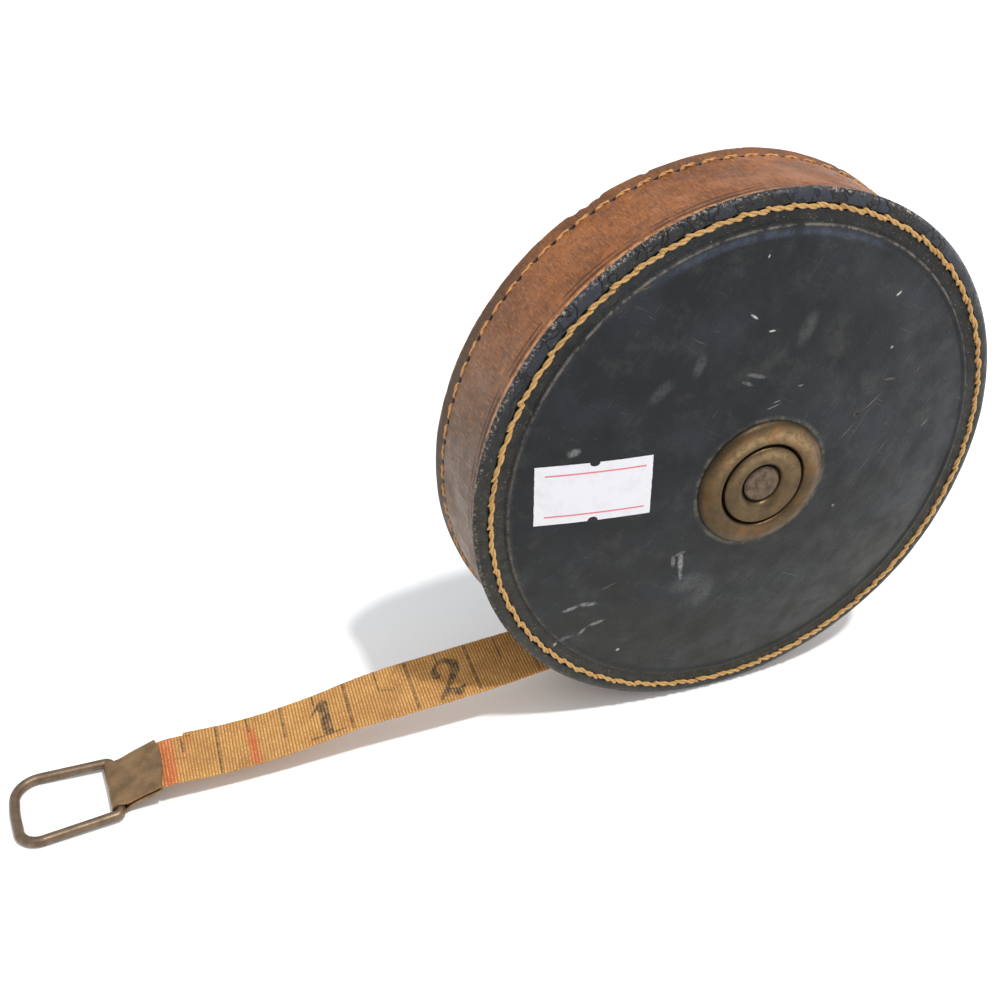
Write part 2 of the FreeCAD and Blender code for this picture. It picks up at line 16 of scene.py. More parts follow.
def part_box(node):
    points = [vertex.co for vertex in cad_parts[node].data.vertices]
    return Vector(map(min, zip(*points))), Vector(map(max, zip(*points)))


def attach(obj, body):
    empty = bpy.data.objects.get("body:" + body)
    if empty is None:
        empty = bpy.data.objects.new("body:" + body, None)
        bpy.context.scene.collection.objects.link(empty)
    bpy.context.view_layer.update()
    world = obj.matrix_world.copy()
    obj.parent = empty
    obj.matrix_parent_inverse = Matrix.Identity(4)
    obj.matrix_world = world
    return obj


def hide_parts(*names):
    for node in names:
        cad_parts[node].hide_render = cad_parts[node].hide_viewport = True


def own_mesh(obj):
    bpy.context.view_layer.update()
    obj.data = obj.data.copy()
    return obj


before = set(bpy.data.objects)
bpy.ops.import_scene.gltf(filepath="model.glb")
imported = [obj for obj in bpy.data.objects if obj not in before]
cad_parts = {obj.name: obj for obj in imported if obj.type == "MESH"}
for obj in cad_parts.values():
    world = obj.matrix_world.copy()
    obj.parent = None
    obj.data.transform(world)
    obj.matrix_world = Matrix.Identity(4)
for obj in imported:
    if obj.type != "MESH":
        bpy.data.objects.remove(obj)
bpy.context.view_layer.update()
MM = 0.001


def middle(node):
    low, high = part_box(node)
    return (low + high) / 2


AXIS = Vector((middle("front_cover").x, middle("rim_band").y, middle("front_cover").z))
GROUND_Z = -AXIS.z / MM

# ---------------- sizes, in millimetres
BAND_R = 54.0
EDGE_R = 54.6
BAND_HALF = 10.0
RIM_SEAM_Y = 7.2
FRONT_SEAM_R = 51.7
SEAM_Y = -11.4
BOSS_R = 13.1
FRONT_TOP_Y = 16.6
BACK_TOP_Y = 15.2
BACK_BOSS_R = 22.0
HUB_HOLE_R = 9.7
HUB_R, AXLE_R = 8.3, 3.9  # middles of the gaps round the hub and the axle
COVER_T = 1.6
RIDGE_R = 48.5

FRONT_PITCH = 5.0        # length of a stitch on the front cover
RIM_PITCH = 4.3          # and round the band
MOUTH_HALF_ANGLE = 12.31  # degrees of the rim that the mouth plate takes, each side of the mouth

TAPE_W = 13.0
TAPE_T = 0.45
TAPE_SLOPE = math.radians(6.1)
TAPE_LINE_R = 38.6
EXIT_T = math.sqrt(BAND_R**2 - TAPE_LINE_R**2)
LEAD_END_T = 57.0
RIB_PITCH = 0.6
NARROW_X = -107.4        # from here on the tape's back selvage is missing
NARROW_BY = 0.9
MOUTH_W, MOUTH_H = 14.8, 4.6

BARREL_X, BARREL_R, CLIP_SHEET = -121.5, 1.5, 0.5
CLIP_BEND = (-113.2, 5.17)      # x and height above the ground where the clip's mouth is
CLIP_HALF_MOUTH, CLIP_HALF_BARREL = 6.6, 5.85

ALONG = Vector((-math.cos(TAPE_SLOPE), 0, -math.sin(TAPE_SLOPE)))
OUTWARD = Vector((math.sin(TAPE_SLOPE), 0, -math.cos(TAPE_SLOPE)))


def line_point(t):
    """The point at distance t along the tape's straight line, from where it leaves the coil."""
    return OUTWARD * TAPE_LINE_R + ALONG * t


EXIT_POINT = line_point(EXIT_T)
EXIT_ANGLE = math.degrees(math.atan2(EXIT_POINT.z, EXIT_POINT.x)) % 360


# ---------------- mesh helpers
def place(points):
    """Millimetres from the reel axis to metres in the frame."""
    return np.asarray(points, float).reshape(-1, 3) * MM + np.array(AXIS)


def link(name, data):
    made = bpy.data.objects.new(name, data)
    bpy.context.scene.collection.objects.link(made)
    return made


def new_object(name, points, faces, sharp_degrees=40.0):
    """A smooth-shaded mesh of points in millimetres, its normals outward."""
    mesh = bpy.data.meshes.new(name)
    mesh.from_pydata(place(points).tolist(), [], faces)
    work = bmesh.new()
    work.from_mesh(mesh)
    bmesh.ops.recalc_face_normals(work, faces=work.faces)
    work.to_mesh(mesh)
    work.free()
    mesh.shade_smooth()
    mesh.set_sharp_from_angle(angle=math.radians(sharp_degrees))
    return link(name, mesh)


def grid_faces(rows, columns, wrap_rows=False, wrap_columns=False, first=0):
    """Quads of a grid of points numbered row by row from first."""
    row = np.arange(rows if wrap_rows else rows - 1)[:, None]
    column = np.arange(columns if wrap_columns else columns - 1)[None, :]
    next_row, next_column = (row + 1) % rows, (column + 1) % columns
    corners = [row * columns + column, next_row * columns + column,
               next_row * columns + next_column, row * columns + next_column]
    return (np.stack(corners, -1).reshape(-1, 4) + first).tolist()


def shell_faces(rows, columns):
    """Quads of two grids, the second numbered after the first, closed round their edges."""
    first = rows * columns
    rim = [i * columns for i in range(rows)]
    rim += [(rows - 1) * columns + j for j in range(1, columns)]
    rim += [i * columns + columns - 1 for i in range(rows - 2, -1, -1)]
    rim += list(range(columns - 2, 0, -1))
    return (grid_faces(rows, columns) + grid_faces(rows, columns, first=first)
            + [[p, q, first + q, first + p] for p, q in zip(rim, rim[1:] + rim[:1])])


def arc(start, mid, end, step):
    """Points about step apart on the circle from start through mid to end, without start."""
    a, b, c = (complex(*point) for point in (start, mid, end))
    ratio = (c - a) / (b - a)
    centre = a + (b - a) * (ratio - abs(ratio) ** 2) / (2j * ratio.imag)
    radius = abs(a - centre)
    first, half, last = (cmath.phase(point - centre) for point in (a, b, c))
    sweep = (last - first) % math.tau
    if (half - first) % math.tau > sweep:
        sweep -= math.tau
    count = max(2, math.ceil(abs(sweep) * radius / step))
    points = [centre + cmath.rect(radius, first + sweep * (i + 1) / count) for i in range(count)]
    return [(point.real, point.imag) for point in points]


def trace(start, *steps, step=0.4):
    """Outline from start. Each further item is a point, or (point on an arc, its end)."""
    points = [start]
    for item in steps:
        here = points[-1]
        if isinstance(item[0], tuple):
            points += arc(here, item[0], item[1], step)
        else:
            count = max(1, math.ceil(math.dist(here, item) / step))
            points += [(here[0] + (item[0] - here[0]) * i / count,
                        here[1] + (item[1] - here[1]) * i / count) for i in range(1, count + 1)]
    return points


def lumps(points, size, seed):
    """Smooth noise from about -1 to 1 at each point, its lumps about size across."""
    shift = Vector((seed * 7.3, seed * 3.1, seed * 5.7))
    values = [noise.noise(Vector(p) / size + shift) for p in points.reshape(-1, 3)]
    return np.reshape(values, points.shape[:-1])


def lathe_points(radius, y, angle):
    return np.stack([radius * np.cos(angle), y + 0 * angle, radius * np.sin(angle)], -1)


def lathe(name, outline, segments, relief=None):
    """Solid of revolution about the reel axis. outline is a closed loop of (radius, y).
    relief(radius, y, angle) gives how far each point is raised off the smooth surface."""
    outline = np.array(outline)
    ahead, behind = np.roll(outline, -1, 0), np.roll(outline, 1, 0)
    tangent = ahead - behind
    normal = np.stack([tangent[:, 1], -tangent[:, 0]], -1)
    normal /= np.linalg.norm(normal, axis=1)[:, None]
    area = np.sum(outline[:, 0] * ahead[:, 1] - ahead[:, 0] * outline[:, 1])
    normal *= math.copysign(1, area)
    angle = (np.arange(segments) * math.tau / segments)[:, None]
    radius, y = (np.tile(outline[:, i], (segments, 1)) for i in (0, 1))
    if relief:
        raised = relief(radius, y, angle + 0 * radius)
        radius, y = radius + raised * normal[:, 0], y + raised * normal[:, 1]
    points = lathe_points(radius, y, angle + 0 * radius)
    return new_object(name, points, grid_faces(segments, len(outline), True, True))


def cut_away(piece, cutter):
    """Cuts the cutter's volume out of the piece, and removes the cutter."""
    cut = piece.modifiers.new("mouth", "BOOLEAN")
    cut.operation, cut.solver, cut.object = "DIFFERENCE", "EXACT", cutter
    shown = piece.evaluated_get(bpy.context.evaluated_depsgraph_get())
    mesh = bpy.data.meshes.new_from_object(shown)
    piece.modifiers.clear()
    piece.data = mesh
    mesh.name = piece.name
    bpy.data.objects.remove(cutter)


def mouth_cutter():
    """Bar along the tape's line through the rim, as wide as the mouth."""
    corners = [line_point(t) + OUTWARD * (MOUTH_H / 2 * a) + Vector((0, MOUTH_W / 2 * b, 0))
               for t in (EXIT_T - 12, EXIT_T + 8) for a, b in ((-1, -1), (1, -1), (1, 1), (-1, 1))]
    faces = grid_faces(2, 4, False, True) + [[0, 1, 2, 3], [7, 6, 5, 4]]
    return new_object("mouth_cutter", np.array([tuple(c) for c in corners]), faces)


def hand_over(piece, body, material, slot, *nodes):
    """Gives a piece its material, its body and the nodes that it stands for."""
    piece.data.materials.append(material)
    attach(piece, body)
    if nodes:
        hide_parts(*nodes)
    return piece


# ---------------- material helpers
def srgb(red, green, blue):
    """Display colour, 0 to 255, as the linear colour that nodes take."""
    values = [c / 255 for c in (red, green, blue)]
    return tuple(c / 12.92 if c <= 0.04045 else ((c + 0.055) / 1.055) ** 2.4 for c in values) + (1,)


class Finish:
    """A procedural material: a Principled shader, the nodes that feed it, and its colour so far."""

    def __init__(self, name, **fixed):
        self.colour = None
        self.material = bpy.data.materials.new(name)
        self.material.use_nodes = True
        self.tree = self.material.node_tree
        self.shader = self.tree.nodes["Principled BSDF"]
        self.set(**fixed)

    def set(self, **inputs):
        for name, value in inputs.items():
            words = name.replace("_", " ").title().replace("Ior", "IOR")
            self.feed(self.shader.inputs[words], value)

    def feed(self, socket, value):
        if isinstance(value, bpy.types.NodeSocket):
            self.tree.links.new(value, socket)
        else:
            socket.default_value = value

    def add(self, kind, *inputs, **settings):
        node = self.tree.nodes.new("ShaderNode" + kind)
        for name, value in settings.items():
            setattr(node, name, value)
        for i, value in enumerate(inputs):
            if value is not None:
                self.feed(node.inputs[i], value)
        return node

    def calc(self, operation, a, b=None):
        return self.add("Math", a, b, operation=operation).outputs[0]

    def times(self, first, *others):
        for other in others:
            first = self.calc("MULTIPLY", first, other)
        return first

    def most(self, first, *others):
        for other in others:
            first = self.calc("MAXIMUM", first, other)
        return first

    def vector(self, operation, a, b=None, scale=None):
        node = self.add("VectorMath", a, b, operation=operation)
        if scale is not None:
            self.feed(node.inputs["Scale"], scale)
        return node.outputs["Value" if operation in ("LENGTH", "DOT_PRODUCT") else "Vector"]

    def here(self):
        """Millimetres from the reel axis."""
        place_m = self.add("TexCoord").outputs["Object"]
        return self.vector("SCALE", self.vector("SUBTRACT", place_m, tuple(AXIS)), scale=1 / MM)

    def stretch(self, vector, x, y, z):
        return self.vector("MULTIPLY", vector, (x, y, z))

    def turned(self, vector, angle, shift):
        """Stretched along a direction at that angle on the XZ plane, for hair-line scratches."""
        x, y, z = self.split(vector)
        c, s = math.cos(angle), math.sin(angle)
        lengthwise = self.calc("ADD", self.times(x, c), self.times(z, s))
        across = self.calc("SUBTRACT", self.times(z, c), self.times(x, s))
        return self.add("CombineXYZ", self.times(lengthwise, 0.12), self.calc("ADD", y, shift),
                        self.times(across, 2.4)).outputs[0]

    def split(self, vector):
        return self.add("SeparateXYZ", vector).outputs

    def around(self, vector, radius):
        """(distance round the axis at that radius, y, distance from the axis) as a vector."""
        x, y, z = self.split(vector)
        angle = self.calc("ARCTAN2", z, x)
        return self.add("CombineXYZ", self.times(angle, radius), y, self.out(vector)).outputs[0]

    def out(self, vector):
        """Distance from the reel axis."""
        return self.vector("LENGTH", self.stretch(vector, 1, 0, 1))

    def noise(self, vector, size, detail=3.0, roughness=0.55, distortion=0.0, output="Fac"):
        """Noise from 0 to 1 whose lumps are about size millimetres."""
        node = self.add("TexNoise", vector)
        for name, value in (("Scale", 1 / size), ("Detail", detail), ("Roughness", roughness),
                            ("Distortion", distortion)):
            node.inputs[name].default_value = value
        return node.outputs[output]

    def cracks(self, vector, size):
        """Distance from the nearest cell edge, in cells of that size."""
        node = self.add("TexVoronoi", vector, feature="DISTANCE_TO_EDGE")
        node.inputs["Scale"].default_value = 1 / size
        return node.outputs["Distance"]

    def remap(self, value, low, high, to_low=0.0, to_high=1.0):
        node = self.add("MapRange", value, low, high, to_low, to_high)
        node.interpolation_type = "SMOOTHSTEP"
        return node.outputs[0]

    def band(self, value, centre, half_width, soft):
        """1 where value is within half_width of centre, falling to 0 over soft."""
        away = self.calc("ABSOLUTE", self.calc("SUBTRACT", value, centre))
        return self.remap(away, half_width, half_width + soft, 1.0, 0.0)

    def mix(self, share, first, second):
        node = self.add("Mix", data_type="RGBA")
        self.feed(node.inputs["Factor"], share)
        self.feed(node.inputs[6], first)
        self.feed(node.inputs[7], second)
        return node.outputs[2]

    def base(self, share, first, second):
        """Starts the colour with a mix of two display colours."""
        self.colour = self.mix(share, srgb(*first), srgb(*second))

    def paint(self, share, red, green, blue):
        """Lays a display colour over the colour so far."""
        self.colour = self.mix(share, self.colour, srgb(red, green, blue))

    def finished(self, rough, normal):
        self.set(Base_Color=self.colour, Roughness=rough, Normal=normal)
        return self.material

    def laid(self, vector, x, z, turn, scale=(1, 1, 1)):
        """The vector seen from a place on the XZ plane, turned by degrees and scaled."""
        node = self.add("Mapping", vector, vector_type="TEXTURE")
        node.inputs["Location"].default_value = (x, 0, z)
        node.inputs["Rotation"].default_value = (0, -math.radians(turn), 0)
        node.inputs["Scale"].default_value = scale
        return node.outputs[0]

    def spots(self, vector, marks):
        """The strongest of several marks, each (x, z, turn, half length, half width, strength):
        full in its middle, falling to 0 at its rim."""
        shares = []
        for x, z, turn, half_length, half_width, strength in marks:
            away = self.out(self.laid(vector, x, z, turn, (half_length, 1, half_width)))
            shares.append(self.times(self.remap(away, 0.3, 1.0, 1.0, 0.0), strength))
        return self.most(*shares)

    def bump(self, height, depth_mm, under=None, strength=1.0):
        node = self.add("Bump")
        self.feed(node.inputs["Strength"], strength)
        node.inputs["Distance"].default_value = depth_mm * MM
        self.feed(node.inputs["Height"], height)
        if under is not None:
            self.feed(node.inputs["Normal"], under)
        return node.outputs["Normal"]


# ---------------- leather
# Marks on the front cover: x, z, turn in degrees, half length, half width, strength.
PALE_SCUFFS = (
    (-14.6, -15.4, 96, 3.2, 0.75, 1.0), (-14.2, -18.4, 100, 2.2, 0.5, 0.8),
    (-16.2, -14.8, 98, 1.9, 0.6, 0.6), (-15.0, -13.2, 20, 1.5, 0.5, 0.5),
    (-35.4, -23.5, 22, 2.1, 0.6, 0.8), (-32.2, -22.7, -3, 2.3, 0.7, 0.8),
    (-32.5, -29.9, 58, 1.7, 0.5, 0.6), (-29.9, -28.0, 20, 2.3, 0.6, 0.7),
    (-35.8, -31.3, 14, 2.3, 0.6, 0.35), (-37.3, 12.0, 20, 1.6, 1.0, 0.6),
    (-3.7, 22.6, -16, 2.6, 0.6, 0.45), (0.4, 15.9, 16, 1.7, 0.22, 0.8),
    (0.9, 16.8, 14, 1.1, 0.16, 0.7), (5.7, 19.2, 0, 0.8, 0.25, 0.6),
    (37.8, 4.0, 35, 1.5, 0.25, 0.5), (-28.5, -18.6, 28, 2.4, 0.3, 0.25),
    (-8.5, -24.0, 75, 5.0, 2.6, 0.16), (-12.0, -21.0, 10, 5.5, 3.0, 0.16),
    (-5.5, 21.4, -24, 1.6, 0.5, 0.4), (-15.0, 26.0, 70, 3.0, 1.4, 0.16),
    (6.0, 30.0, 60, 4.5, 2.0, 0.14), (-22.0, 22.0, 40, 4.0, 1.6, 0.12),
)
WHITE_FLECKS = (
    (-24.3, -36.8, 0, 0.5, 0.5, 1.0), (-5.0, 33.6, -35, 1.1, 0.3, 0.8),
    (-1.3, 30.6, 0, 0.9, 0.25, 0.8), (25.9, 32.9, 28, 0.9, 0.3, 0.8),
    (25.6, 22.8, 0, 0.4, 0.4, 0.8), (-2.5, 43.7, 60, 0.5, 0.2, 0.7),
    (-37.5, -32.7, 50, 0.7, 0.35, 0.9), (18.0, -9.5, 0, 0.4, 0.4, 0.6),
)
CRACKS = (
    (22.9, 12.4, 35, 3.3, 0.22, 0.9), (26.3, 16.3, -8, 1.9, 0.4, 0.7),
    (18.0, 7.4, 43, 2.4, 0.3, 0.6), (-25.6, 40.6, 12, 2.3, 0.22, 0.9),
)
HOLES = ((19.5, 10.6, 20, 0.85, 0.6, 1.0), (33.6, 16.5, 0, 0.6, 0.5, 0.9))


def black_leather(name, front):
    """Old polished black leather; the front cover also carries its particular marks."""
    f = Finish(name, Specular_IOR_Level=0.24)
    here = f.here()
    z = f.split(here)[2]
    cloud = f.noise(here, 17.0, 4.0, 0.6)
    f.base(f.remap(z, 12.0, -38.0), (20, 21, 24), (34, 34, 30))
    f.paint(f.remap(cloud, 0.42, 0.66, 0.0, 0.55), 38, 41, 47)
    f.paint(f.remap(f.noise(here, 6.0, 6.0, 0.68), 0.5, 0.72, 0.0, 0.4), 60, 60, 56)
    rubbed = f.remap(cloud, 0.44, 0.62, 0.04, 0.4)
    for turn, seed in ((0.9, 0.0), (-0.5, 40.0)):
        hair = f.noise(f.turned(here, turn, seed), 1.0, 3.0, 0.6, 0.5)
        f.paint(f.times(f.remap(hair, 0.62, 0.74), rubbed), 84, 84, 82)
    f.paint(f.remap(f.noise(here, 0.45, 2.0, 0.7), 0.69, 0.8, 0.0, 0.55), 104, 100, 90)
    normal = f.bump(f.remap(f.cracks(here, 0.9), 0.0, 0.12), 0.03, None, 0.5)
    normal = f.bump(f.noise(here, 0.35, 3.0), 0.03, normal, 0.5)
    normal = f.bump(cloud, 0.9, normal, 0.4)
    rough = f.remap(f.noise(here, 5.0, 4.0), 0.3, 0.7, 0.34, 0.56)
    if front:
        normal, rough = front_marks(f, here, normal, rough)
    return f.finished(rough, normal)


def front_marks(f, here, normal, rough):
    """Crazed rim, dusty groove, worn ridge, scuffs, cracks and holes of the front cover, with
    painted highlights on the ridge, on the rim's facets and on the bevel's edge, and a painted
    sheen inside the ridge, all strongest towards the top.
    """
    x, _, z = f.split(here)
    out = f.out(here)
    ragged = f.noise(here, 2.2, 4.0, 0.7)
    fine = f.noise(here, 0.55, 4.0, 0.75)
    upper = f.remap(z, 6.0, 34.0)
    side = f.remap(f.calc("ABSOLUTE", x), 18.0, 46.0)
    outside = f.remap(out, RIDGE_R - 0.6, RIDGE_R + 0.3)
    earthy = f.times(outside, f.remap(ragged, 0.3, 0.62, 0.15, 0.7))
    f.paint(f.times(earthy, f.remap(z, 30.0, -5.0, 0.35, 1.0)), 58, 55, 46)
    specks = f.times(f.remap(fine, 0.6, 0.68), outside)
    f.paint(f.times(specks, f.remap(ragged, 0.4, 0.6, 0.1, 0.75)), 128, 120, 100)
    # Pale worn line on the ridge with a painted highlight: strongest at the top, weaker at the
    # sides, none at the bottom.
    ridge = f.times(f.band(out, RIDGE_R, 0.05, 0.3), f.remap(ragged, 0.38, 0.6))
    ridge = f.times(ridge, f.most(upper, f.times(side, 0.35)))
    f.paint(f.times(ridge, 0.8), 116, 108, 100)
    # Painted bluish sheen of the sky on the panel just inside the ridge, at the top only.
    painted_sheen = f.times(f.band(out, RIDGE_R - 1.2, 0.2, 0.9), f.remap(z, 38.0, 46.0))
    f.paint(f.times(painted_sheen, f.remap(ragged, 0.3, 0.7, 0.05, 0.35)), 84, 96, 118)
    # Pale wear on the bevel's outer edge, painted stronger towards the top as painted glints.
    edge = f.times(f.band(out, EDGE_R, 0.3, 0.45), f.remap(fine, 0.48, 0.62, 0.0, 0.9))
    edge = f.times(edge, f.remap(z, -10.0, 40.0, 0.4, 1.0))
    f.paint(f.times(edge, f.remap(ragged, 0.35, 0.6, 0.15, 1.0)), 176, 164, 150)
    rim = f.times(f.remap(out, 52.0, 52.6), upper)
    wavy = f.vector("SCALE", f.noise(here, 1 / 0.3, 1.0, 0.5, output="Color"), scale=7.0)
    flat = f.vector("ADD", f.stretch(f.around(here, BAND_R), 0.8, 0.4, 0.6), wavy)
    cell = 5.5
    craze = f.times(f.remap(f.cracks(flat, cell), 0.0, 0.05, 1.0, 0.0), rim)
    facets = f.add("TexVoronoi", flat)
    facets.inputs["Scale"].default_value = 1 / cell
    facet_sheen_and_relief = f.split(facets.outputs["Color"])[0]
    # Painted bluish highlights on the facets of the crazed upper rim.
    f.paint(f.times(rim, f.remap(facet_sheen_and_relief, 0.2, 0.95, 0.0, 0.6)), 50, 55, 66)
    f.paint(f.times(craze, 0.6), 14, 14, 15)
    streaks = f.remap(f.noise(here, 0.7, 4.0, 0.7), 0.3, 0.62, 0.2, 1.0)
    scuffs = f.times(f.spots(here, PALE_SCUFFS), streaks)
    f.paint(scuffs, 136, 137, 134)
    f.paint(f.times(f.spots(here, WHITE_FLECKS), streaks), 205, 202, 196)
    cracked = f.spots(here, CRACKS)
    f.paint(f.times(cracked, streaks), 104, 92, 76)
    holes = f.spots(here, HOLES)
    f.paint(f.remap(holes, 0.05, 0.5, 0.0, 0.8), 84, 66, 48)
    f.paint(f.remap(holes, 0.5, 0.9), 8, 7, 6)
    around = f.remap(ragged, 0.42, 0.6, 0.15, 0.8)
    collar = f.times(f.band(out, BOSS_R + 0.3, 0.1, 0.7), around)
    f.paint(f.times(collar, 0.7), 104, 100, 84)
    normal = f.bump(f.times(fine, outside), 0.28, normal)
    normal = f.bump(facet_sheen_and_relief, 0.6, normal, f.times(rim, 0.8))
    normal = f.bump(f.most(craze, cracked, holes), -0.25, normal)
    rough = f.calc("ADD", rough, f.times(scuffs, 0.25))
    rough = f.calc("SUBTRACT", rough, f.times(rim, 0.12))
    return normal, rough


def brown_leather():
    """Tan harness leather: crosswise grain, darker creases, worn edges and awl holes, with painted
    highlights towards the top, painted shade and reflection low down, and painted shade behind the
    back seam.
    """
    f = Finish("brown_leather", Specular_IOR_Level=0.35)
    here = f.here()
    y, z = f.split(here)[1:]
    flat = f.around(here, BAND_R)
    patches = f.noise(f.stretch(flat, 0.6, 1.0, 1.0), 7.0, 5.0, 0.62)
    f.base(f.remap(patches, 0.32, 0.68), (108, 62, 30), (146, 88, 44))
    # Painted shade and reflection: the band turns greyer towards the bottom.
    f.paint(f.remap(z, 46.0, 2.0, 0.0, 0.88), 88, 74, 58)
    grain = f.noise(f.stretch(flat, 1.0, 0.16, 0.3), 0.24, 3.0, 0.65, 0.4)
    f.paint(f.remap(grain, 0.52, 0.72, 0.0, 0.5), 190, 126, 70)
    f.paint(f.remap(grain, 0.48, 0.3, 0.0, 0.75), 66, 38, 22)
    f.paint(f.remap(f.noise(flat, 3.0, 6.0, 0.72), 0.54, 0.7, 0.0, 0.6), 84, 52, 34)
    # Painted satin highlights in patches, strongest towards the top.
    painted_highlight = f.remap(f.noise(flat, 2.2, 5.0, 0.7), 0.56, 0.72, 0.0, 0.5)
    f.paint(f.times(painted_highlight, f.remap(z, 0.0, 30.0, 0.3, 1.0)), 184, 112, 54)
    ragged = f.noise(flat, 1.3, 5.0, 0.72)
    # Painted shade on the flared strip behind the back seam, deeper lower down.
    behind = f.remap(f.calc("ADD", y, ragged), RIM_SEAM_Y + 0.5, RIM_SEAM_Y + 1.5, 0.0, 0.8)
    behind = f.times(behind, f.remap(z, 46.0, 20.0, 0.45, 1.0))
    f.paint(behind, 68, 54, 42)
    creases = f.most(f.band(y, -7.9, 0.08, 0.22), f.band(y, -6.8, 0.05, 0.2))
    creases = f.times(creases, f.remap(f.noise(flat, 4.0, 3.0), 0.42, 0.6, 0.1, 0.9))
    f.paint(creases, 62, 36, 22)
    worn = f.times(f.band(y, -9.0, 0.4, 0.5), f.remap(ragged, 0.42, 0.56, 0.05, 0.85))
    f.paint(worn, 200, 142, 94)
    corner = f.times(f.band(y, BAND_HALF, 0.3, 0.5), f.band(f.out(here), EDGE_R, 0.3, 0.5))
    f.paint(f.times(corner, f.remap(ragged, 0.5, 0.6, 0.0, 0.8)), 176, 146, 118)
    f.paint(awl_holes(f, flat), 16, 10, 8)
    normal = f.bump(grain, 0.11, None, 0.9)
    normal = f.bump(f.cracks(flat, 0.8), 0.05, normal, 0.4)
    normal = f.bump(patches, 0.8, normal, 0.4)
    normal = f.bump(creases, -0.2, normal)
    rough = f.remap(f.noise(flat, 4.0, 3.0), 0.3, 0.7, 0.38, 0.6)
    return f.finished(rough, normal)


def rim_hole_phase():
    """Place of the rim's first awl hole and the pitch of the holes, in degrees, and how many
    stitches there are."""
    arc_degrees = 360 - 2 * MOUTH_HALF_ANGLE
    count = round(math.radians(arc_degrees) * BAND_R / RIM_PITCH)
    return EXIT_ANGLE + MOUTH_HALF_ANGLE, arc_degrees / count, count


def awl_holes(f, flat):
    """1 in the slanting slits that the rim's stitches go through."""
    first, pitch, _ = rim_hole_phase()
    along, y, _ = f.split(flat)
    length = f.calc("SUBTRACT", along, math.radians(first) * BAND_R)
    length = f.calc("FLOORED_MODULO", length, math.tau * BAND_R)
    turns = f.calc("DIVIDE", length, math.radians(pitch) * BAND_R)
    away = f.calc("SUBTRACT", f.calc("FRACT", f.calc("ADD", turns, 0.5)), 0.5)
    across = f.calc("SUBTRACT", y, RIM_SEAM_Y + 0.1)
    spot = f.add("CombineXYZ", f.times(away, RIM_PITCH / 0.85),
                 f.calc("DIVIDE", across, 0.42), 0.0).outputs[0]
    return f.remap(f.vector("LENGTH", spot), 0.6, 1.0, 1.0, 0.0)


def thread_finish(name, light, dark):
    """Waxed linen thread, its fibres along the strands."""
    f = Finish(name, Specular_IOR_Level=0.3)
    here = f.here()
    fibre = f.noise(here, 0.16, 3.0, 0.7)
    f.base(f.remap(fibre, 0.3, 0.7), dark, light)
    f.paint(f.remap(f.noise(here, 6.0, 3.0), 0.5, 0.75, 0.0, 0.45), 128, 88, 54)
    return f.finished(0.7, f.bump(fibre, 0.06))


# ---------------- metal, wood, paper, linen
def aged_brass(name, light, dark, size=3.0, rough=0.46, more=None):
    """Handled brass under a thin brown skin. more(f, here) paints further marks over it."""
    f = Finish(name, Metallic=0.8)
    here = f.here()
    skin = f.noise(here, size, 5.0, 0.6)
    f.base(f.remap(skin, 0.3, 0.75), light, dark)
    f.paint(f.remap(f.noise(here, size * 1.7, 3.0), 0.45, 0.7, 0.0, 0.5), 104, 84, 66)
    f.paint(f.remap(f.noise(here, 0.3, 3.0, 0.7), 0.62, 0.78, 0.0, 0.6), 60, 46, 34)
    if more:
        more(f, here)
    return f.finished(f.remap(skin, 0.3, 0.7, rough - 0.06, rough + 0.12),
                      f.bump(f.noise(here, 0.45, 4.0, 0.65), 0.05, None, 0.6))


def boss_wear(f, here):
    """Grime with painted shade in the bosses' gaps and round their rims, tarnish with painted shade
    low down and on the left, and crests rubbed bright with a painted highlight towards the top.
    """
    out = f.out(here)
    x, _, z = f.split(here)
    warm = f.remap(f.noise(here, 3.4, 3.0), 0.46, 0.62, 0.0, 0.6)
    f.paint(f.times(warm, f.band(out, 10.6, 1.2, 1.0)), 122, 82, 46)
    # Tarnish, painted heavier low down and on the left as painted shade.
    tarnish_and_shade = f.remap(f.calc("SUBTRACT", x, z), -2.0, 16.0, 0.0, 0.5)
    tarnish_and_shade = f.most(tarnish_and_shade, f.remap(x, 2.0, -12.0, 0.0, 0.7))
    blotches = f.noise(here, 1.1, 5.0, 0.7)
    f.paint(f.times(tarnish_and_shade, f.remap(blotches, 0.35, 0.6, 0.6, 1.0)), 60, 47, 28)
    # Crests rubbed bright, painted brighter towards the top as a painted highlight.
    crests = f.most(f.band(out, 10.6, 0.1, 1.6), f.band(out, 6.6, 0.1, 1.2))
    rubbed = f.times(crests, f.remap(z, -1.0, 10.0, 0.05, 0.7))
    f.paint(f.times(rubbed, f.remap(blotches, 0.35, 0.62, 0.25, 1.0)), 164, 136, 98)
    # Grime and painted shade in the gaps round the hub and the axle, and round the boss's rim.
    grime_and_shade = f.most(f.band(out, BOSS_R, 0.2, 0.7), f.band(out, HUB_R, 0.05, 0.25),
                   f.band(out, AXLE_R, 0.1, 0.3))
    f.paint(f.times(grime_and_shade, 0.6), 44, 36, 26)


def steel():
    f = Finish("old_steel", Metallic=0.8)
    here = f.here()
    skin = f.noise(here, 1.2, 5.0, 0.65)
    f.base(f.remap(skin, 0.35, 0.68), (104, 88, 72), (80, 66, 54))
    return f.finished(f.remap(skin, 0.3, 0.7, 0.4, 0.6), f.bump(skin, 0.05, None, 0.6))


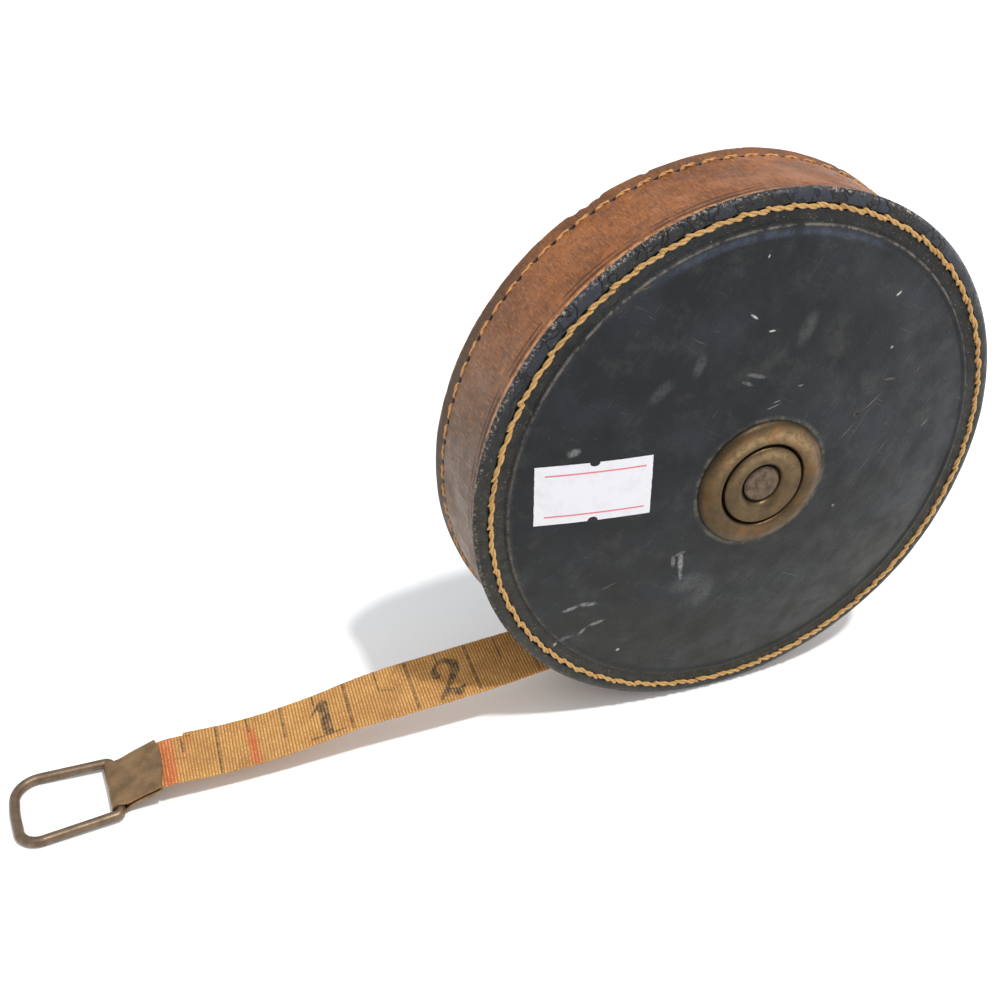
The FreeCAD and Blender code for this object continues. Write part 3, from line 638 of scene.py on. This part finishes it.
def tinplate():
    f = Finish("tinplate", Metallic=0.9)
    here = f.here()
    cloud = f.noise(here, 4.0, 4.0)
    f.base(f.remap(cloud, 0.35, 0.7), (168, 168, 164), (122, 118, 110))
    return f.finished(f.remap(cloud, 0.3, 0.7, 0.3, 0.5), f.bump(cloud, 0.02))


def turned_wood():
    f = Finish("beech", Specular_IOR_Level=0.3)
    here = f.here()
    grain = f.noise(f.stretch(here, 1.0, 0.12, 1.0), 1.2, 4.0, 0.6, 0.6)
    f.base(f.remap(grain, 0.3, 0.7), (186, 142, 96), (142, 98, 60))
    return f.finished(0.6, f.bump(grain, 0.04))


def printed_linen():
    """Ribbed linen tape; the mesh carries the rib, ink and red print as attributes."""
    f = Finish("printed_linen", Specular_IOR_Level=0.2)
    here = f.here()
    rib, ink, red = (f.add("Attribute", attribute_name=name).outputs["Fac"]
                     for name in ("rib", "ink", "red"))
    cloud = f.noise(here, 5.0, 4.0, 0.6)
    f.base(f.remap(cloud, 0.3, 0.7), (196, 146, 84), (172, 122, 66))
    bead = f.noise(f.stretch(here, 0.8, 1.7, 1.0), 0.34, 2.0, 0.5)
    top = f.times(f.remap(bead, 0.44, 0.6), f.remap(rib, 0.35, 0.9))
    f.paint(f.times(top, 0.6), 236, 196, 138)
    valley = f.most(f.remap(rib, 0.5, 0.05), f.remap(bead, 0.42, 0.3, 0.0, 0.7))
    f.paint(f.times(valley, 0.6), 122, 80, 40)
    f.paint(f.remap(f.noise(here, 9.0, 3.0), 0.45, 0.75, 0.0, 0.35), 140, 102, 64)
    rubbed = f.remap(f.noise(here, 1.6, 4.0, 0.7), 0.4, 0.62, 1.0, 0.55)
    kept = f.times(rubbed, f.calc("SUBTRACT", 1.0, f.times(top, 0.55)))
    f.paint(f.times(red, f.times(kept, 0.75)), 184, 76, 50)
    f.paint(f.times(ink, f.times(kept, 0.95)), 62, 56, 46)
    return f.finished(0.85, f.bump(bead, 0.14, None, 0.9))


def coil_linen():
    """The wound tape's edges: fine turns about the axis."""
    f = Finish("coil_linen", Specular_IOR_Level=0.25)
    here = f.here()
    out = f.out(here)
    turns = f.calc("FRACT", f.calc("DIVIDE", out, TAPE_T))
    edge = f.band(turns, 0.5, 0.3, 0.15)
    f.base(edge, (110, 72, 38), (196, 148, 86))
    return f.finished(0.85, f.bump(edge, 0.06))


def label_paper(turn):
    """White paper with two thin red rules, a little soiled."""
    f = Finish("label_paper", Specular_IOR_Level=0.35)
    here = f.here()
    centre = (middle("price_sticker") - AXIS) / MM
    soil = f.remap(f.noise(here, 3.0, 5.0, 0.7), 0.45, 0.75, 0.0, 0.3)
    f.base(soil, (212, 211, 215), (184, 182, 180))
    along, _, across = f.split(f.laid(here, centre.x, centre.z, turn))
    inside = f.band(along, 0.3, 9.1, 0.2)
    for rule in (4.15, -4.45):
        line = f.times(f.band(across, rule, 0.1, 0.12), inside)
        f.paint(f.times(line, 0.85), 206, 70, 86)
    return f.finished(0.6, f.bump(f.noise(here, 0.6, 3.0), 0.02))


# ---------------- leather pieces
def front_relief(radius, y, angle):
    """Hand-made unevenness of the front cover, in millimetres."""
    points = lathe_points(radius, y, angle)
    raised = 0.16 * lumps(points, 17.0, 1) + 0.05 * lumps(points, 4.5, 2)
    puckers = 0.5 + 0.5 * np.cos(angle * round(math.tau * FRONT_SEAM_R / FRONT_PITCH))
    raised -= 0.16 * puckers * np.exp(-((radius - FRONT_SEAM_R) / 1.0) ** 2)
    raised += 0.05 * lumps(points, 1.6, 3) * (radius > 47.5)
    raised *= np.clip((radius - BOSS_R) / 2.0, 0, 1)
    return raised * np.clip((EDGE_R - radius) / 0.6, 0.3, 1)


PANEL_RIM = (47.6, -11.72)
CROWN = (26.1, -15.6)


def front_cover():
    """Bevelled rim, thread groove, flat, pressed ridge and crowned panel."""
    seen = trace(
        (EDGE_R, -BAND_HALF), (EDGE_R, -10.3), ((53.75, -11.05), (52.6, -11.4)),
        (52.25, -11.4), ((FRONT_SEAM_R, -10.95), (51.15, -11.4)), (49.05, -11.33),
        ((RIDGE_R, -11.86), PANEL_RIM),
        (CROWN, (BOSS_R, -FRONT_TOP_Y)), (HUB_HOLE_R, -FRONT_TOP_Y))
    hidden = trace(
        (HUB_HOLE_R, COVER_T - FRONT_TOP_Y), (BOSS_R, COVER_T - FRONT_TOP_Y),
        ((26.1, -14.0), (45.9, -BAND_HALF)), (52.0, -BAND_HALF), step=4.0)
    return lathe("front_cover_leather", seen + hidden, 900, front_relief)


# Nicks in the band's back edge: place in degrees, depth and half length.
NICKS = (
    (122.3, 0.5, 0.9), (119.6, 0.85, 1.1), (117.2, 0.5, 0.8), (107.0, 0.6, 0.5), (63.0, 0.4, 0.6),
)


def band_relief(radius, y, angle):
    """Waves and creases of the band, dents at its awl holes and nicks in its back edge."""
    points = lathe_points(radius, y, angle)
    raised = 0.22 * lumps(points, 15.0, 4) + 0.05 * lumps(points, 3.0, 5)
    outside = radius > BAND_R - 1.0
    raised -= 0.16 * np.exp(-((y + 8.5) / 0.22) ** 2) * outside
    first, pitch, _ = rim_hole_phase()
    turns = np.mod(np.degrees(angle) - first, 360) / pitch
    away = (turns - np.round(turns)) * RIM_PITCH
    raised -= 0.7 * np.exp(-(away / 0.5) ** 2 - ((y - RIM_SEAM_Y) / 0.4) ** 2) * outside
    for where, depth, half_length in NICKS:
        near = (np.degrees(angle) - where) * math.radians(BAND_R) / half_length
        torn = np.exp(-near ** 2) * np.clip((y - 8.9) / 0.8, 0, 1) * outside
        raised -= depth * torn * (0.8 + 0.5 * lumps(points, 0.8, 8))
    return raised


def rim_band():
    """Band with a raised back edge and a turned-in front flange, cut through at the mouth."""
    bore, flange_bore, flange_y = 51.0, 48.5, -7.6
    seen = trace(
        (53.2, -BAND_HALF), ((53.8, -9.85), (BAND_R, -9.3)), (BAND_R, RIM_SEAM_Y + 0.8),
        (EDGE_R - 0.05, BAND_HALF - 0.5), ((EDGE_R - 0.15, 9.85), (EDGE_R - 0.5, BAND_HALF)),
        (bore, BAND_HALF), step=0.32)
    hidden = trace((bore, 6.0), (bore, flange_y), (flange_bore, flange_y),
                   (flange_bore, -BAND_HALF), (52.6, -BAND_HALF), step=4.0)
    band = lathe("rim_band_leather", seen + hidden, 1080, band_relief)
    cut_away(band, mouth_cutter())
    return band


def back_relief(radius, y, angle):
    points = lathe_points(radius, y, angle)
    raised = 0.18 * lumps(points, 16.0, 6) + 0.05 * lumps(points, 4.0, 7)
    return raised * np.clip((radius - BACK_BOSS_R) / 2, 0, 1) * (y > 9.5)


def back_cover():
    """Crowned disc whose skirt goes inside the band."""
    skirt_out, skirt_in, hole = 50.98, 49.38, 17.9
    seen = trace(
        (skirt_out, BAND_HALF), ((skirt_out - 0.4, 10.6), (skirt_out - 1.4, 10.9)),
        ((34.65, 13.9), (21.0, BACK_TOP_Y)), (hole, BACK_TOP_Y), step=0.6)
    hidden = trace(
        (hole, BACK_TOP_Y - COVER_T), (BACK_BOSS_R, BACK_TOP_Y - COVER_T),
        ((34.65, 12.3), (skirt_in, 9.3)), (skirt_in, 4.0), (skirt_out, 4.0), step=4.0)
    cover = lathe("back_cover_leather", seen + hidden, 540, back_relief)
    cut_away(cover, mouth_cutter())
    return cover


# ---------------- thread
STITCH_RINGS = 18        # along each stitch
# How far a stitch's middle rises and its ends dip, its strands' radius and their distance from
# its centre line, and the share of both that is left at its tips.
FRONT_THREAD = {"lift": 0.12, "sink": 0.2, "radius": 0.27, "spread": 0.23, "tip": 0.7}
RIM_THREAD = {"lift": 0.13, "sink": 0.45, "radius": 0.17, "spread": 0.14, "tip": 0.5}


def add_ply(mesh, centre, out, side, phase, turns, thread, sides=7):
    """One twisted strand of a stitch: a closed tube round centre, tapering at its ends."""
    points, faces = mesh
    first, count = len(points), len(centre)
    for k in range(count):
        share = k / (count - 1)
        taper = min(1.0, thread["tip"] + 5.0 * min(share, 1 - share))
        turn = phase + share * turns * math.tau
        shift = (out * math.cos(turn) + side * math.sin(turn)) * thread["spread"]
        for i in range(sides):
            a = math.tau * i / sides
            round_it = (out * math.cos(a) + side * math.sin(a)) * thread["radius"]
            points.append(centre[k] + (shift + round_it) * taper)
    faces += grid_faces(count, sides, False, True, first)
    faces.append([first + i for i in range(sides)])
    faces.append([first + (count - 1) * sides + i for i in range(sides)][::-1])


def stitch(mesh, start, end, out, turns, thread):
    """A stitch of two twisted strands from start to end, bowed outward by the thread's lift."""
    side = (end - start).cross(out).normalized()
    centre = []
    for k in range(STITCH_RINGS):
        off_middle = 2 * k / (STITCH_RINGS - 1) - 1
        bow = thread["lift"] * (1 - off_middle ** 4) - thread["sink"] * off_middle ** 8
        centre.append(start.lerp(end, (off_middle + 1) / 2) + out * bow)
    phase = random.uniform(0, math.tau)
    for ply in (0, math.pi):
        add_ply(mesh, centre, out, side, phase + ply, turns, thread)


def thread_object(name, mesh):
    points, faces = mesh
    return new_object(name, np.array([tuple(p) for p in points]), faces, 80)


def front_stitches():
    """Thread round the front cover: each stitch starts outside the circle and ends inside it."""
    random.seed(11)
    mesh = [], []
    count = round(math.tau * FRONT_SEAM_R / FRONT_PITCH)
    out = Vector((0, -1, 0))
    for i in range(count):
        start_angle, end_angle = -math.tau * i / count, -math.tau * (i + 1.16) / count
        ends = []
        for angle, shift in ((start_angle, 0.27), (end_angle, -0.27)):
            radius = FRONT_SEAM_R + shift + random.uniform(-0.08, 0.08)
            ends.append(Vector((radius * math.cos(angle), SEAM_Y + 0.05, radius * math.sin(angle))))
        stitch(mesh, *ends, out, random.uniform(1.1, 1.5), FRONT_THREAD)
    return thread_object("front_seam_stitches", mesh)


def rim_stitches():
    """Separate stitches round the band, each dipping into its awl holes."""
    random.seed(12)
    mesh = [], []
    first, pitch, count = rim_hole_phase()
    for i in range(count):
        start_angle, end_angle = (math.radians(first + pitch * (i + s)) for s in (0.12, 0.88))
        mid = (start_angle + end_angle) / 2
        out = Vector((math.cos(mid), 0, math.sin(mid)))
        slant = 0.16 + random.uniform(-0.06, 0.06)
        ends = [Vector((BAND_R * math.cos(a), RIM_SEAM_Y + s, BAND_R * math.sin(a)))
                for a, s in ((start_angle, slant), (end_angle, -slant))]
        stitch(mesh, *ends, out, random.uniform(0.7, 1.1), RIM_THREAD)
    return thread_object("rim_seam_stitches", mesh)


# ---------------- tape
# Centre of the tape, from the coil to the clip: x, height above the ground, and twist in
# degrees that lowers its front edge.
TAPE_STATIONS = (
    (4.1, 16.2, 0.0), (-10.0, 14.7, 0.0), (-22.0, 13.45, 1.0), (-34.0, 12.1, 5.0),
    (-46.0, 10.75, 8.0), (-57.0, 9.8, 8.5), (-66.0, 9.1, 7.5), (-74.0, 8.3, 3.5),
    (-82.0, 6.8, 1.4), (-90.0, 5.5, 1.0), (-98.0, 4.95, 1.0), (-106.0, 5.05, 1.5),
    (-111.5, 5.2, 0.5), (-114.2, 4.7, 0.0), (-119.3, 2.47, 0.0),
)


def through(stations, x):
    """Smooth curve through the stations (x falling) at each x, for every column after x."""
    table = np.array(stations)[::-1]
    knots, values = table[:, 0], table[:, 1:]
    slopes = np.gradient(values, knots, axis=0)
    i = np.clip(np.searchsorted(knots, x) - 1, 0, len(knots) - 2)
    width = (knots[i + 1] - knots[i])[:, None]
    s = (x - knots[i])[:, None] / width
    return ((1 + 2 * s) * (1 - s) ** 2 * values[i] + s * (1 - s) ** 2 * width * slopes[i]
            + s * s * (3 - 2 * s) * values[i + 1] + s * s * (s - 1) * width * slopes[i + 1])


INCH = 25.4
ZERO_X = -100.3          # where the tape's first inch starts


def stroke(x, v, stops, soft=0.12):
    """1 along a stroke of changing width through the stops (x, v, half width), falling to 0
    beside it."""
    ink = np.zeros_like(x)
    for (x0, v0, w0), (x1, v1, w1) in zip(stops, stops[1:]):
        dx, dv = x1 - x0, v1 - v0
        share = np.clip(((x - x0) * dx + (v - v0) * dv) / (dx * dx + dv * dv), 0, 1)
        away = np.hypot(x - x0 - share * dx, v - v0 - share * dv)
        width = w0 + (w1 - w0) * share
        ink = np.maximum(ink, np.clip((width + soft - away) / (2 * soft), 0, 1))
    return ink


def line(x, v, start, end, half_width, soft=0.12):
    return stroke(x, v, ((*start, half_width), (*end, half_width)), soft)


def numeral(x, v, at, strokes):
    """Strokes of a numeral whose middle is at x = at, drawn with stops (from at, v, half width)."""
    return np.maximum.reduce([stroke(x - at, v + 1.0, stops, 0.1) for stops in strokes])


def at_inch(inches):
    return ZERO_X + inches * INCH * math.cos(TAPE_SLOPE)


def lean(x, v):
    """How far the weave and its print are dragged towards the ring, most at the front edge."""
    at_back = np.interp(x, (-110, -100, -75, -50), (1.05, 0.85, 0.35, 0.0))
    across = np.interp(x, (-110, -100, -75, -60), (0.7, 1.35, 1.2, 0.6))
    return at_back + across * (TAPE_W / 2 - v) / TAPE_W


# How far each graduation reaches across the tape, by its place in inches.
GRADUATIONS = (
    (0, -6.3), (0.5, -2.2), (0.75, 3.6), (1, -6.0), (1.25, 1.2), (1.5, -6.0), (1.75, 4.0),
    (2, -5.6), (2.25, 0.4), (2.5, -5.6), (2.75, 4.0), (3, -6.0),
)
NUMERAL_ONE = (
    ((0.45, 4.0, 1.0), (0.45, -3.6, 1.0)),
    ((-2.3, 1.6, 0.12), (-0.3, 3.9, 0.55)),
    ((-2.8, -4.2, 0.18), (3.4, -4.2, 0.18)),
)
NUMERAL_TWO = (
    ((-2.0, 1.5, 0.95), (-2.3, 2.8, 0.5), (-1.2, 4.4, 0.35), (0.6, 4.7, 0.6), (2.0, 3.4, 1.05),
     (1.8, 1.6, 1.0), (0.2, -0.9, 0.55), (-1.8, -3.2, 0.3), (-2.6, -4.5, 0.25)),
    ((-2.4, -3.9, 0.3), (-0.6, -3.0, 0.8), (1.2, -3.8, 0.95), (2.6, -2.6, 0.3)),
)


def black_print(x, v):
    """Ink of the graduations and numerals. v runs from -6.5 at the front edge to 6.5."""
    edge = TAPE_W / 2
    full = [line(x, v, (at_inch(i), edge), (at_inch(i), reach), 0.24 if i == int(i) else 0.19)
            for i, reach in GRADUATIONS]
    full.append(numeral(x, v, at_inch(0.8), NUMERAL_ONE))
    full.append(numeral(x, v, at_inch(1.79), NUMERAL_TWO))
    quarter, step, red_mark = at_inch(1.25), NARROW_X + 0.3, at_inch(0.24)
    worn = [
        stroke(x - quarter, v, ((0.6, 1.0, 0.1), (2.6, 0.3, 0.17), (4.6, 0.9, 0.1)), 0.1),
        line(x, v, (step, 5.2), (step + 0.2, 1.4), 0.3),
        line(x, v, (step - 0.4, 5.2), (step + 1.9, 5.2), 0.16),
        line(x, v, (red_mark - 0.3, edge), (red_mark, 2.4), 0.24),
    ]
    return np.maximum.reduce(full + [0.8 * ink for ink in worn])


def red_print(x, v):
    """Red ink: the bar beside the clip and the worn mark after the first line."""
    mark = at_inch(0.25)
    return np.maximum.reduce([
        np.clip((1.5 - np.abs(x + 109.9)) / 0.5, 0, 1),
        line(x, v, (mark, 2.4), (mark + 0.4, -5.6), 0.8, 0.55),
        0.35 * line(x, v, (mark - 1.0, 3.6), (mark - 0.6, 1.2), 0.6, 0.4),
        0.4 * line(x, v, (-106.6, 3.8), (-105.2, 4.4), 0.6, 0.4),
        0.45 * line(x, v, (-106.8, -1.0), (-106.3, 0.6), 0.5, 0.4),
    ])


def ribbon(name, x_from, x_to):
    """Ribbed tape between two x places, with its print as attributes of its points."""
    rows = int((x_from - x_to) / (RIB_PITCH / 5)) + 1
    columns, half_w = 53, TAPE_W / 2
    x = np.linspace(x_from, x_to, rows)
    height, twist = through(TAPE_STATIONS, x).T
    slope = np.gradient(height, x)
    normal = np.stack([-slope, 0 * x, np.ones(rows)], -1)
    normal /= np.linalg.norm(normal, axis=1)[:, None]
    across_y = np.array([0.0, 1.0, 0.0])
    cosine, sine = np.cos(np.radians(twist))[:, None], np.sin(np.radians(twist))[:, None]
    across = across_y * cosine + normal * sine
    up = normal * cosine - across_y * sine
    centre = np.stack([x, 0 * x, height + GROUND_Z], -1)
    v = np.linspace(-half_w, half_w, columns)
    xx, vv = np.meshgrid(x, v, indexing="ij")
    flat_points = np.stack([xx, vv, 0 * xx], -1)
    frayed = 0.07 * lumps(flat_points, 0.9, 21)
    missing = NARROW_BY * np.clip((NARROW_X + 0.15 * np.sin(vv * 9) - xx) / 0.25, 0, 1)
    width = vv * (1 + frayed / half_w) - missing * np.clip(vv / half_w, 0, 1)
    woven = xx + lean(xx, vv)
    rib = 0.5 + 0.5 * np.cos(math.tau * woven / RIB_PITCH)
    limit = np.interp(xx, (BARREL_X, CLIP_BEND[0], CLIP_BEND[0] + 0.5), (5.2, 6.1, 7.0))
    width = np.clip(width, -limit, limit - 0.7)
    sag = 0.10 * lumps(flat_points, 7.0, 22)
    edge = np.clip((half_w - np.abs(vv)) / 0.35, 0, 1) ** 0.5
    layers = []
    for side in (1, -1):
        thick = side * (TAPE_T / 2 - 0.07) * (0.45 + 0.55 * edge) + side * 0.09 * rib * edge + sag
        layers.append(centre[:, None] + across[:, None] * width[..., None]
                      + up[:, None] * thick[..., None])
    points = np.concatenate([layers[0], layers[1][:, ::-1]], 1)
    made = new_object(name, points, grid_faces(rows, 2 * columns, False, True)
                      + [list(range(2 * columns)),
                         [(rows - 1) * 2 * columns + i for i in range(2 * columns)][::-1]], 70)
    printed = {"rib": rib, "ink": black_print(woven, vv), "red": red_print(woven, vv)}
    for label, values in printed.items():
        both = np.concatenate([values, values[:, ::-1] * (label == "rib")], 1)
        made.data.attributes.new(label, "FLOAT", "POINT").data.foreach_set(
            "value", both.astype(np.float32).ravel())
    return made


CORE_R = 12.1
COIL_R = 36.6            # a little under the tape's line, so that the twisted tape clears it


def coil():
    """The wound tape: a ring whose edges show the turns."""
    half = 6.45
    outline = trace((CORE_R, -half), (COIL_R, -half), (COIL_R, half), (CORE_R, half), step=3.0)
    return lathe("tape_coil_turns", outline, 120)


# ---------------- clip
def end_clip():
    """Brass sheet folded round the ring's wire, its two leaves closed on the tape."""
    length = math.hypot(CLIP_BEND[0] - BARREL_X, CLIP_BEND[1] - BARREL_R)
    along = Vector((CLIP_BEND[0] - BARREL_X, 0, CLIP_BEND[1] - BARREL_R)) / length
    up = Vector((-along.z, 0, along.x))
    leaf = TAPE_T / 2 + 0.02 + CLIP_SHEET / 2
    bend_r = BARREL_R - CLIP_SHEET / 2
    mouth = length - 0.3
    line = [(mouth * (1 - i / 12) + 2.4 * i / 12, leaf) for i in range(13)]
    line += [(1.9, leaf + 0.03), (1.45, leaf + 0.2)]
    line += [(bend_r * math.cos(a), bend_r * math.sin(a))
             for a in np.linspace(math.radians(42), math.radians(318), 25)]
    line += [(1.45, -leaf - 0.2), (1.9, -leaf - 0.03)]
    line += [(2.4 + (mouth - 0.4 - 2.4) * i / 12, -leaf) for i in range(13)]
    line = np.array(line)
    tangent = np.gradient(line, axis=0)
    normal = np.stack([tangent[:, 1], -tangent[:, 0]], -1)
    normal /= np.linalg.norm(normal, axis=1)[:, None]
    columns = 21
    points = []
    for side in (1, -1):
        for (u, w), (nu, nw) in zip(line, normal):
            half = CLIP_HALF_BARREL + (CLIP_HALF_MOUTH - CLIP_HALF_BARREL) * np.clip(
                (u - 1) / (mouth - 1), 0, 1)
            for v in np.linspace(-1, 1, columns):
                open_share = np.clip((u - 2) / (mouth - 2), 0, 1)
                bulge = (0.3 + 0.5 * v + 0.9 * (1 - v * v)) * open_share ** 2
                trimmed = half - NARROW_BY * max(v, 0) * open_share
                a = u + bulge + nu * side * CLIP_SHEET / 2
                b = w + nw * side * CLIP_SHEET / 2 + 0.05 * math.sin(3 * v + u)
                p = along * a + up * b
                points.append((BARREL_X + p.x, v * trimmed, BARREL_R + p.z + GROUND_Z))
    clip = new_object("end_clip_folded", np.array(points), shell_faces(len(line), columns), 50)
    round_edges(clip, 0.07)
    return clip


def round_edges(piece, radius_mm):
    """Small rounding of a hard-edged metal piece."""
    weld = piece.modifiers.new("weld", "WELD")
    weld.merge_threshold = 0.002 * MM
    bevel = piece.modifiers.new("round_edges", "BEVEL")
    bevel.width, bevel.segments, bevel.limit_method = radius_mm * MM, 2, "ANGLE"
    bevel.angle_limit = math.radians(42)


# ---------------- label
LABEL_L, LABEL_W, LABEL_TURN = 21.4, 12.2, 1.2


def crown_y(radius):
    """Height of the front cover's crown at a distance from the axis."""
    profile = np.array(arc(PANEL_RIM, CROWN, (BOSS_R, -FRONT_TOP_Y), 0.4))[::-1]
    return np.interp(radius, profile[:, 0], profile[:, 1])


def price_label():
    """Notched paper label that follows the front cover's surface."""
    centre = (middle("price_sticker") - AXIS) / MM
    half_l, half_w, notch = LABEL_L / 2, LABEL_W / 2, 0.95
    fine = np.linspace(-notch, notch, 25)
    a = np.concatenate([np.linspace(-half_l, -notch, 34)[:-1], fine,
                        np.linspace(notch, half_l, 34)[1:]])
    bite = np.sqrt(np.clip(notch**2 - a**2, 0, None))
    share = np.linspace(-1, 1, 31)
    aa = np.tile(a[:, None], (1, len(share)))
    bb = share * (half_w - bite[:, None] * 0.85)
    jag = lumps(np.stack([aa, bb, 0 * aa], -1), 0.5, 31)
    aa = aa + 0.08 * jag * (np.abs(aa) > half_l - 0.01)
    bb = bb + 0.04 * jag * (np.abs(share) == 1)
    cosine, sine = math.cos(math.radians(LABEL_TURN)), math.sin(math.radians(LABEL_TURN))
    x, z = centre.x + aa * cosine - bb * sine, centre.z + aa * sine + bb * cosine
    radius, angle = np.hypot(x, z), np.arctan2(z, x) % math.tau
    y = crown_y(radius)
    surface = y - front_relief(radius, y, angle)
    top = np.stack([x, surface - 0.13 - 0.03 * jag, z], -1).reshape(-1, 3)
    under = np.stack([x, surface - 0.01, z], -1).reshape(-1, 3)
    return new_object("price_sticker_paper", np.concatenate([top, under]),
                      shell_faces(len(a), len(share)), 50)


# ---------------- finishes of the CAD nodes
def finish_cad_nodes():
    """Materials and edge rounding, in millimetres, for the nodes that keep their CAD shape."""
    boss = aged_brass("boss_brass", (104, 84, 56), (78, 64, 44), 2.6, 0.4, boss_wear)
    fitting = aged_brass("fitting_brass", (134, 110, 74), (98, 80, 54), 2.2, 0.4)
    wire = aged_brass("wire_brass", (128, 108, 88), (102, 86, 70), 2.0, 0.42)
    for material, roundings in (
            (boss, {"front_boss_ring": 0.12, "front_hub": 0.1, "back_boss_ring": 0.1,
                    "winding_hub": 0.12}),
            (fitting, {"mouth_plate": 0.1, "mouth_liner": 0, "mouth_rivets": 0.12,
                       "front_boss_washer": 0, "back_boss_washer": 0, "handle_arm": 0.18,
                       "winding_knob": 0.15, "anchor_tack": 0}),
            (steel(), {"axle": 0, "knob_stud": 0, "hinge_pin": 0.08}),
            (wire, {"pull_ring": 0}),
            (tinplate(), {"front_reel_flange": 0, "back_reel_flange": 0}),
            (turned_wood(), {"reel_core": 0})):
        for name, rounding in roundings.items():
            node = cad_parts[name]
            for slot in node.material_slots:
                slot.material = material
            if rounding:
                round_edges(node, rounding)


# ---------------- stage
def floor():
    """Plain pale floor under the part."""
    mesh = bpy.data.meshes.new("floor")
    work = bmesh.new()
    bmesh.ops.create_grid(work, x_segments=8, y_segments=8, size=3.0)
    work.to_mesh(mesh)
    work.free()
    mesh.materials.append(
        Finish("pale_floor", Base_Color=(0.95, 0.95, 0.95, 1), Roughness=0.9).material)
    link("floor", mesh)


def sun(name, towards, strength, spread_degrees):
    light = bpy.data.lights.new(name, "SUN")
    light.energy, light.angle = strength, math.radians(spread_degrees)
    link(name, light).rotation_euler = Vector(towards).to_track_quat("Z", "Y").to_euler()


def soft_box(name, place_m, size, power):
    """Square lamp that faces the middle of the case."""
    light = bpy.data.lights.new(name, "AREA")
    light.energy, light.size = power, size
    made = link(name, light)
    made.location = place_m
    made.rotation_euler = (Vector(place_m) - AXIS).to_track_quat("Z", "Y").to_euler()


def studio():
    world = bpy.data.worlds.new("studio")
    bpy.context.scene.world = world
    world.use_nodes = True
    background = world.node_tree.nodes["Background"]
    background.inputs["Color"].default_value = (0.97, 0.985, 1.0, 1)
    background.inputs["Strength"].default_value = 0.85
    sun("key", (0.22, -0.33, 1.0), 2.2, 4.0)
    soft_box("front_right", (0.62, -0.62, 0.10), 0.35, 0.6)
    floor()
    bpy.context.scene.view_settings.view_transform = "Standard"


def camera():
    data = bpy.data.cameras.new("camera")
    data.lens, data.sensor_width = 49.02, 36.0
    data.clip_start, data.clip_end = 0.01, 10.0
    made = link("camera", data)
    made.location = (-0.083222, -0.195178, 0.190700)
    made.rotation_euler = [math.radians(a) for a in (56.304, -1.6106, -21.489)]
    bpy.context.scene.camera = made


# ---------------- the whole scene
def main():
    black_front = black_leather("black_leather_front", True)
    black_back = black_leather("black_leather_back", False)
    hand_over(front_cover(), "case", black_front, "black_leather", "front_cover")
    hand_over(rim_band(), "case", brown_leather(), "brown_leather", "rim_band")
    hand_over(back_cover(), "case", black_back, "black_leather", "back_cover")
    face_thread = thread_finish("face_thread", (214, 174, 112), (150, 108, 60))
    rim_thread = thread_finish("rim_thread", (218, 168, 110), (164, 112, 66))
    hand_over(front_stitches(), "case", face_thread, "thread", "front_seam_thread")
    hand_over(rim_stitches(), "case", rim_thread, "thread", "rim_seam_thread")
    linen = printed_linen()
    split_x = line_point(LEAD_END_T).x
    lead = hand_over(ribbon("tape_lead_ribbon", TAPE_STATIONS[0][0], split_x), "tape_end", linen,
                     "linen_tape", "tape_lead")
    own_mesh(lead)
    end = hand_over(ribbon("tape_end_ribbon", split_x, TAPE_STATIONS[-1][0]), "tape_end", linen,
                    "linen_tape", "tape_free_end")
    hand_over(coil(), "reel", coil_linen(), "linen_tape", "tape_coil")
    clip_brass = aged_brass("clip_brass", (158, 126, 92), (122, 98, 68), 3.0, 0.5)
    hand_over(end_clip(), "tape_end", clip_brass, "brass", "end_clip")
    hand_over(price_label(), "case", label_paper(LABEL_TURN), "paper", "price_sticker")
    finish_cad_nodes()
    studio()
    camera()


main()
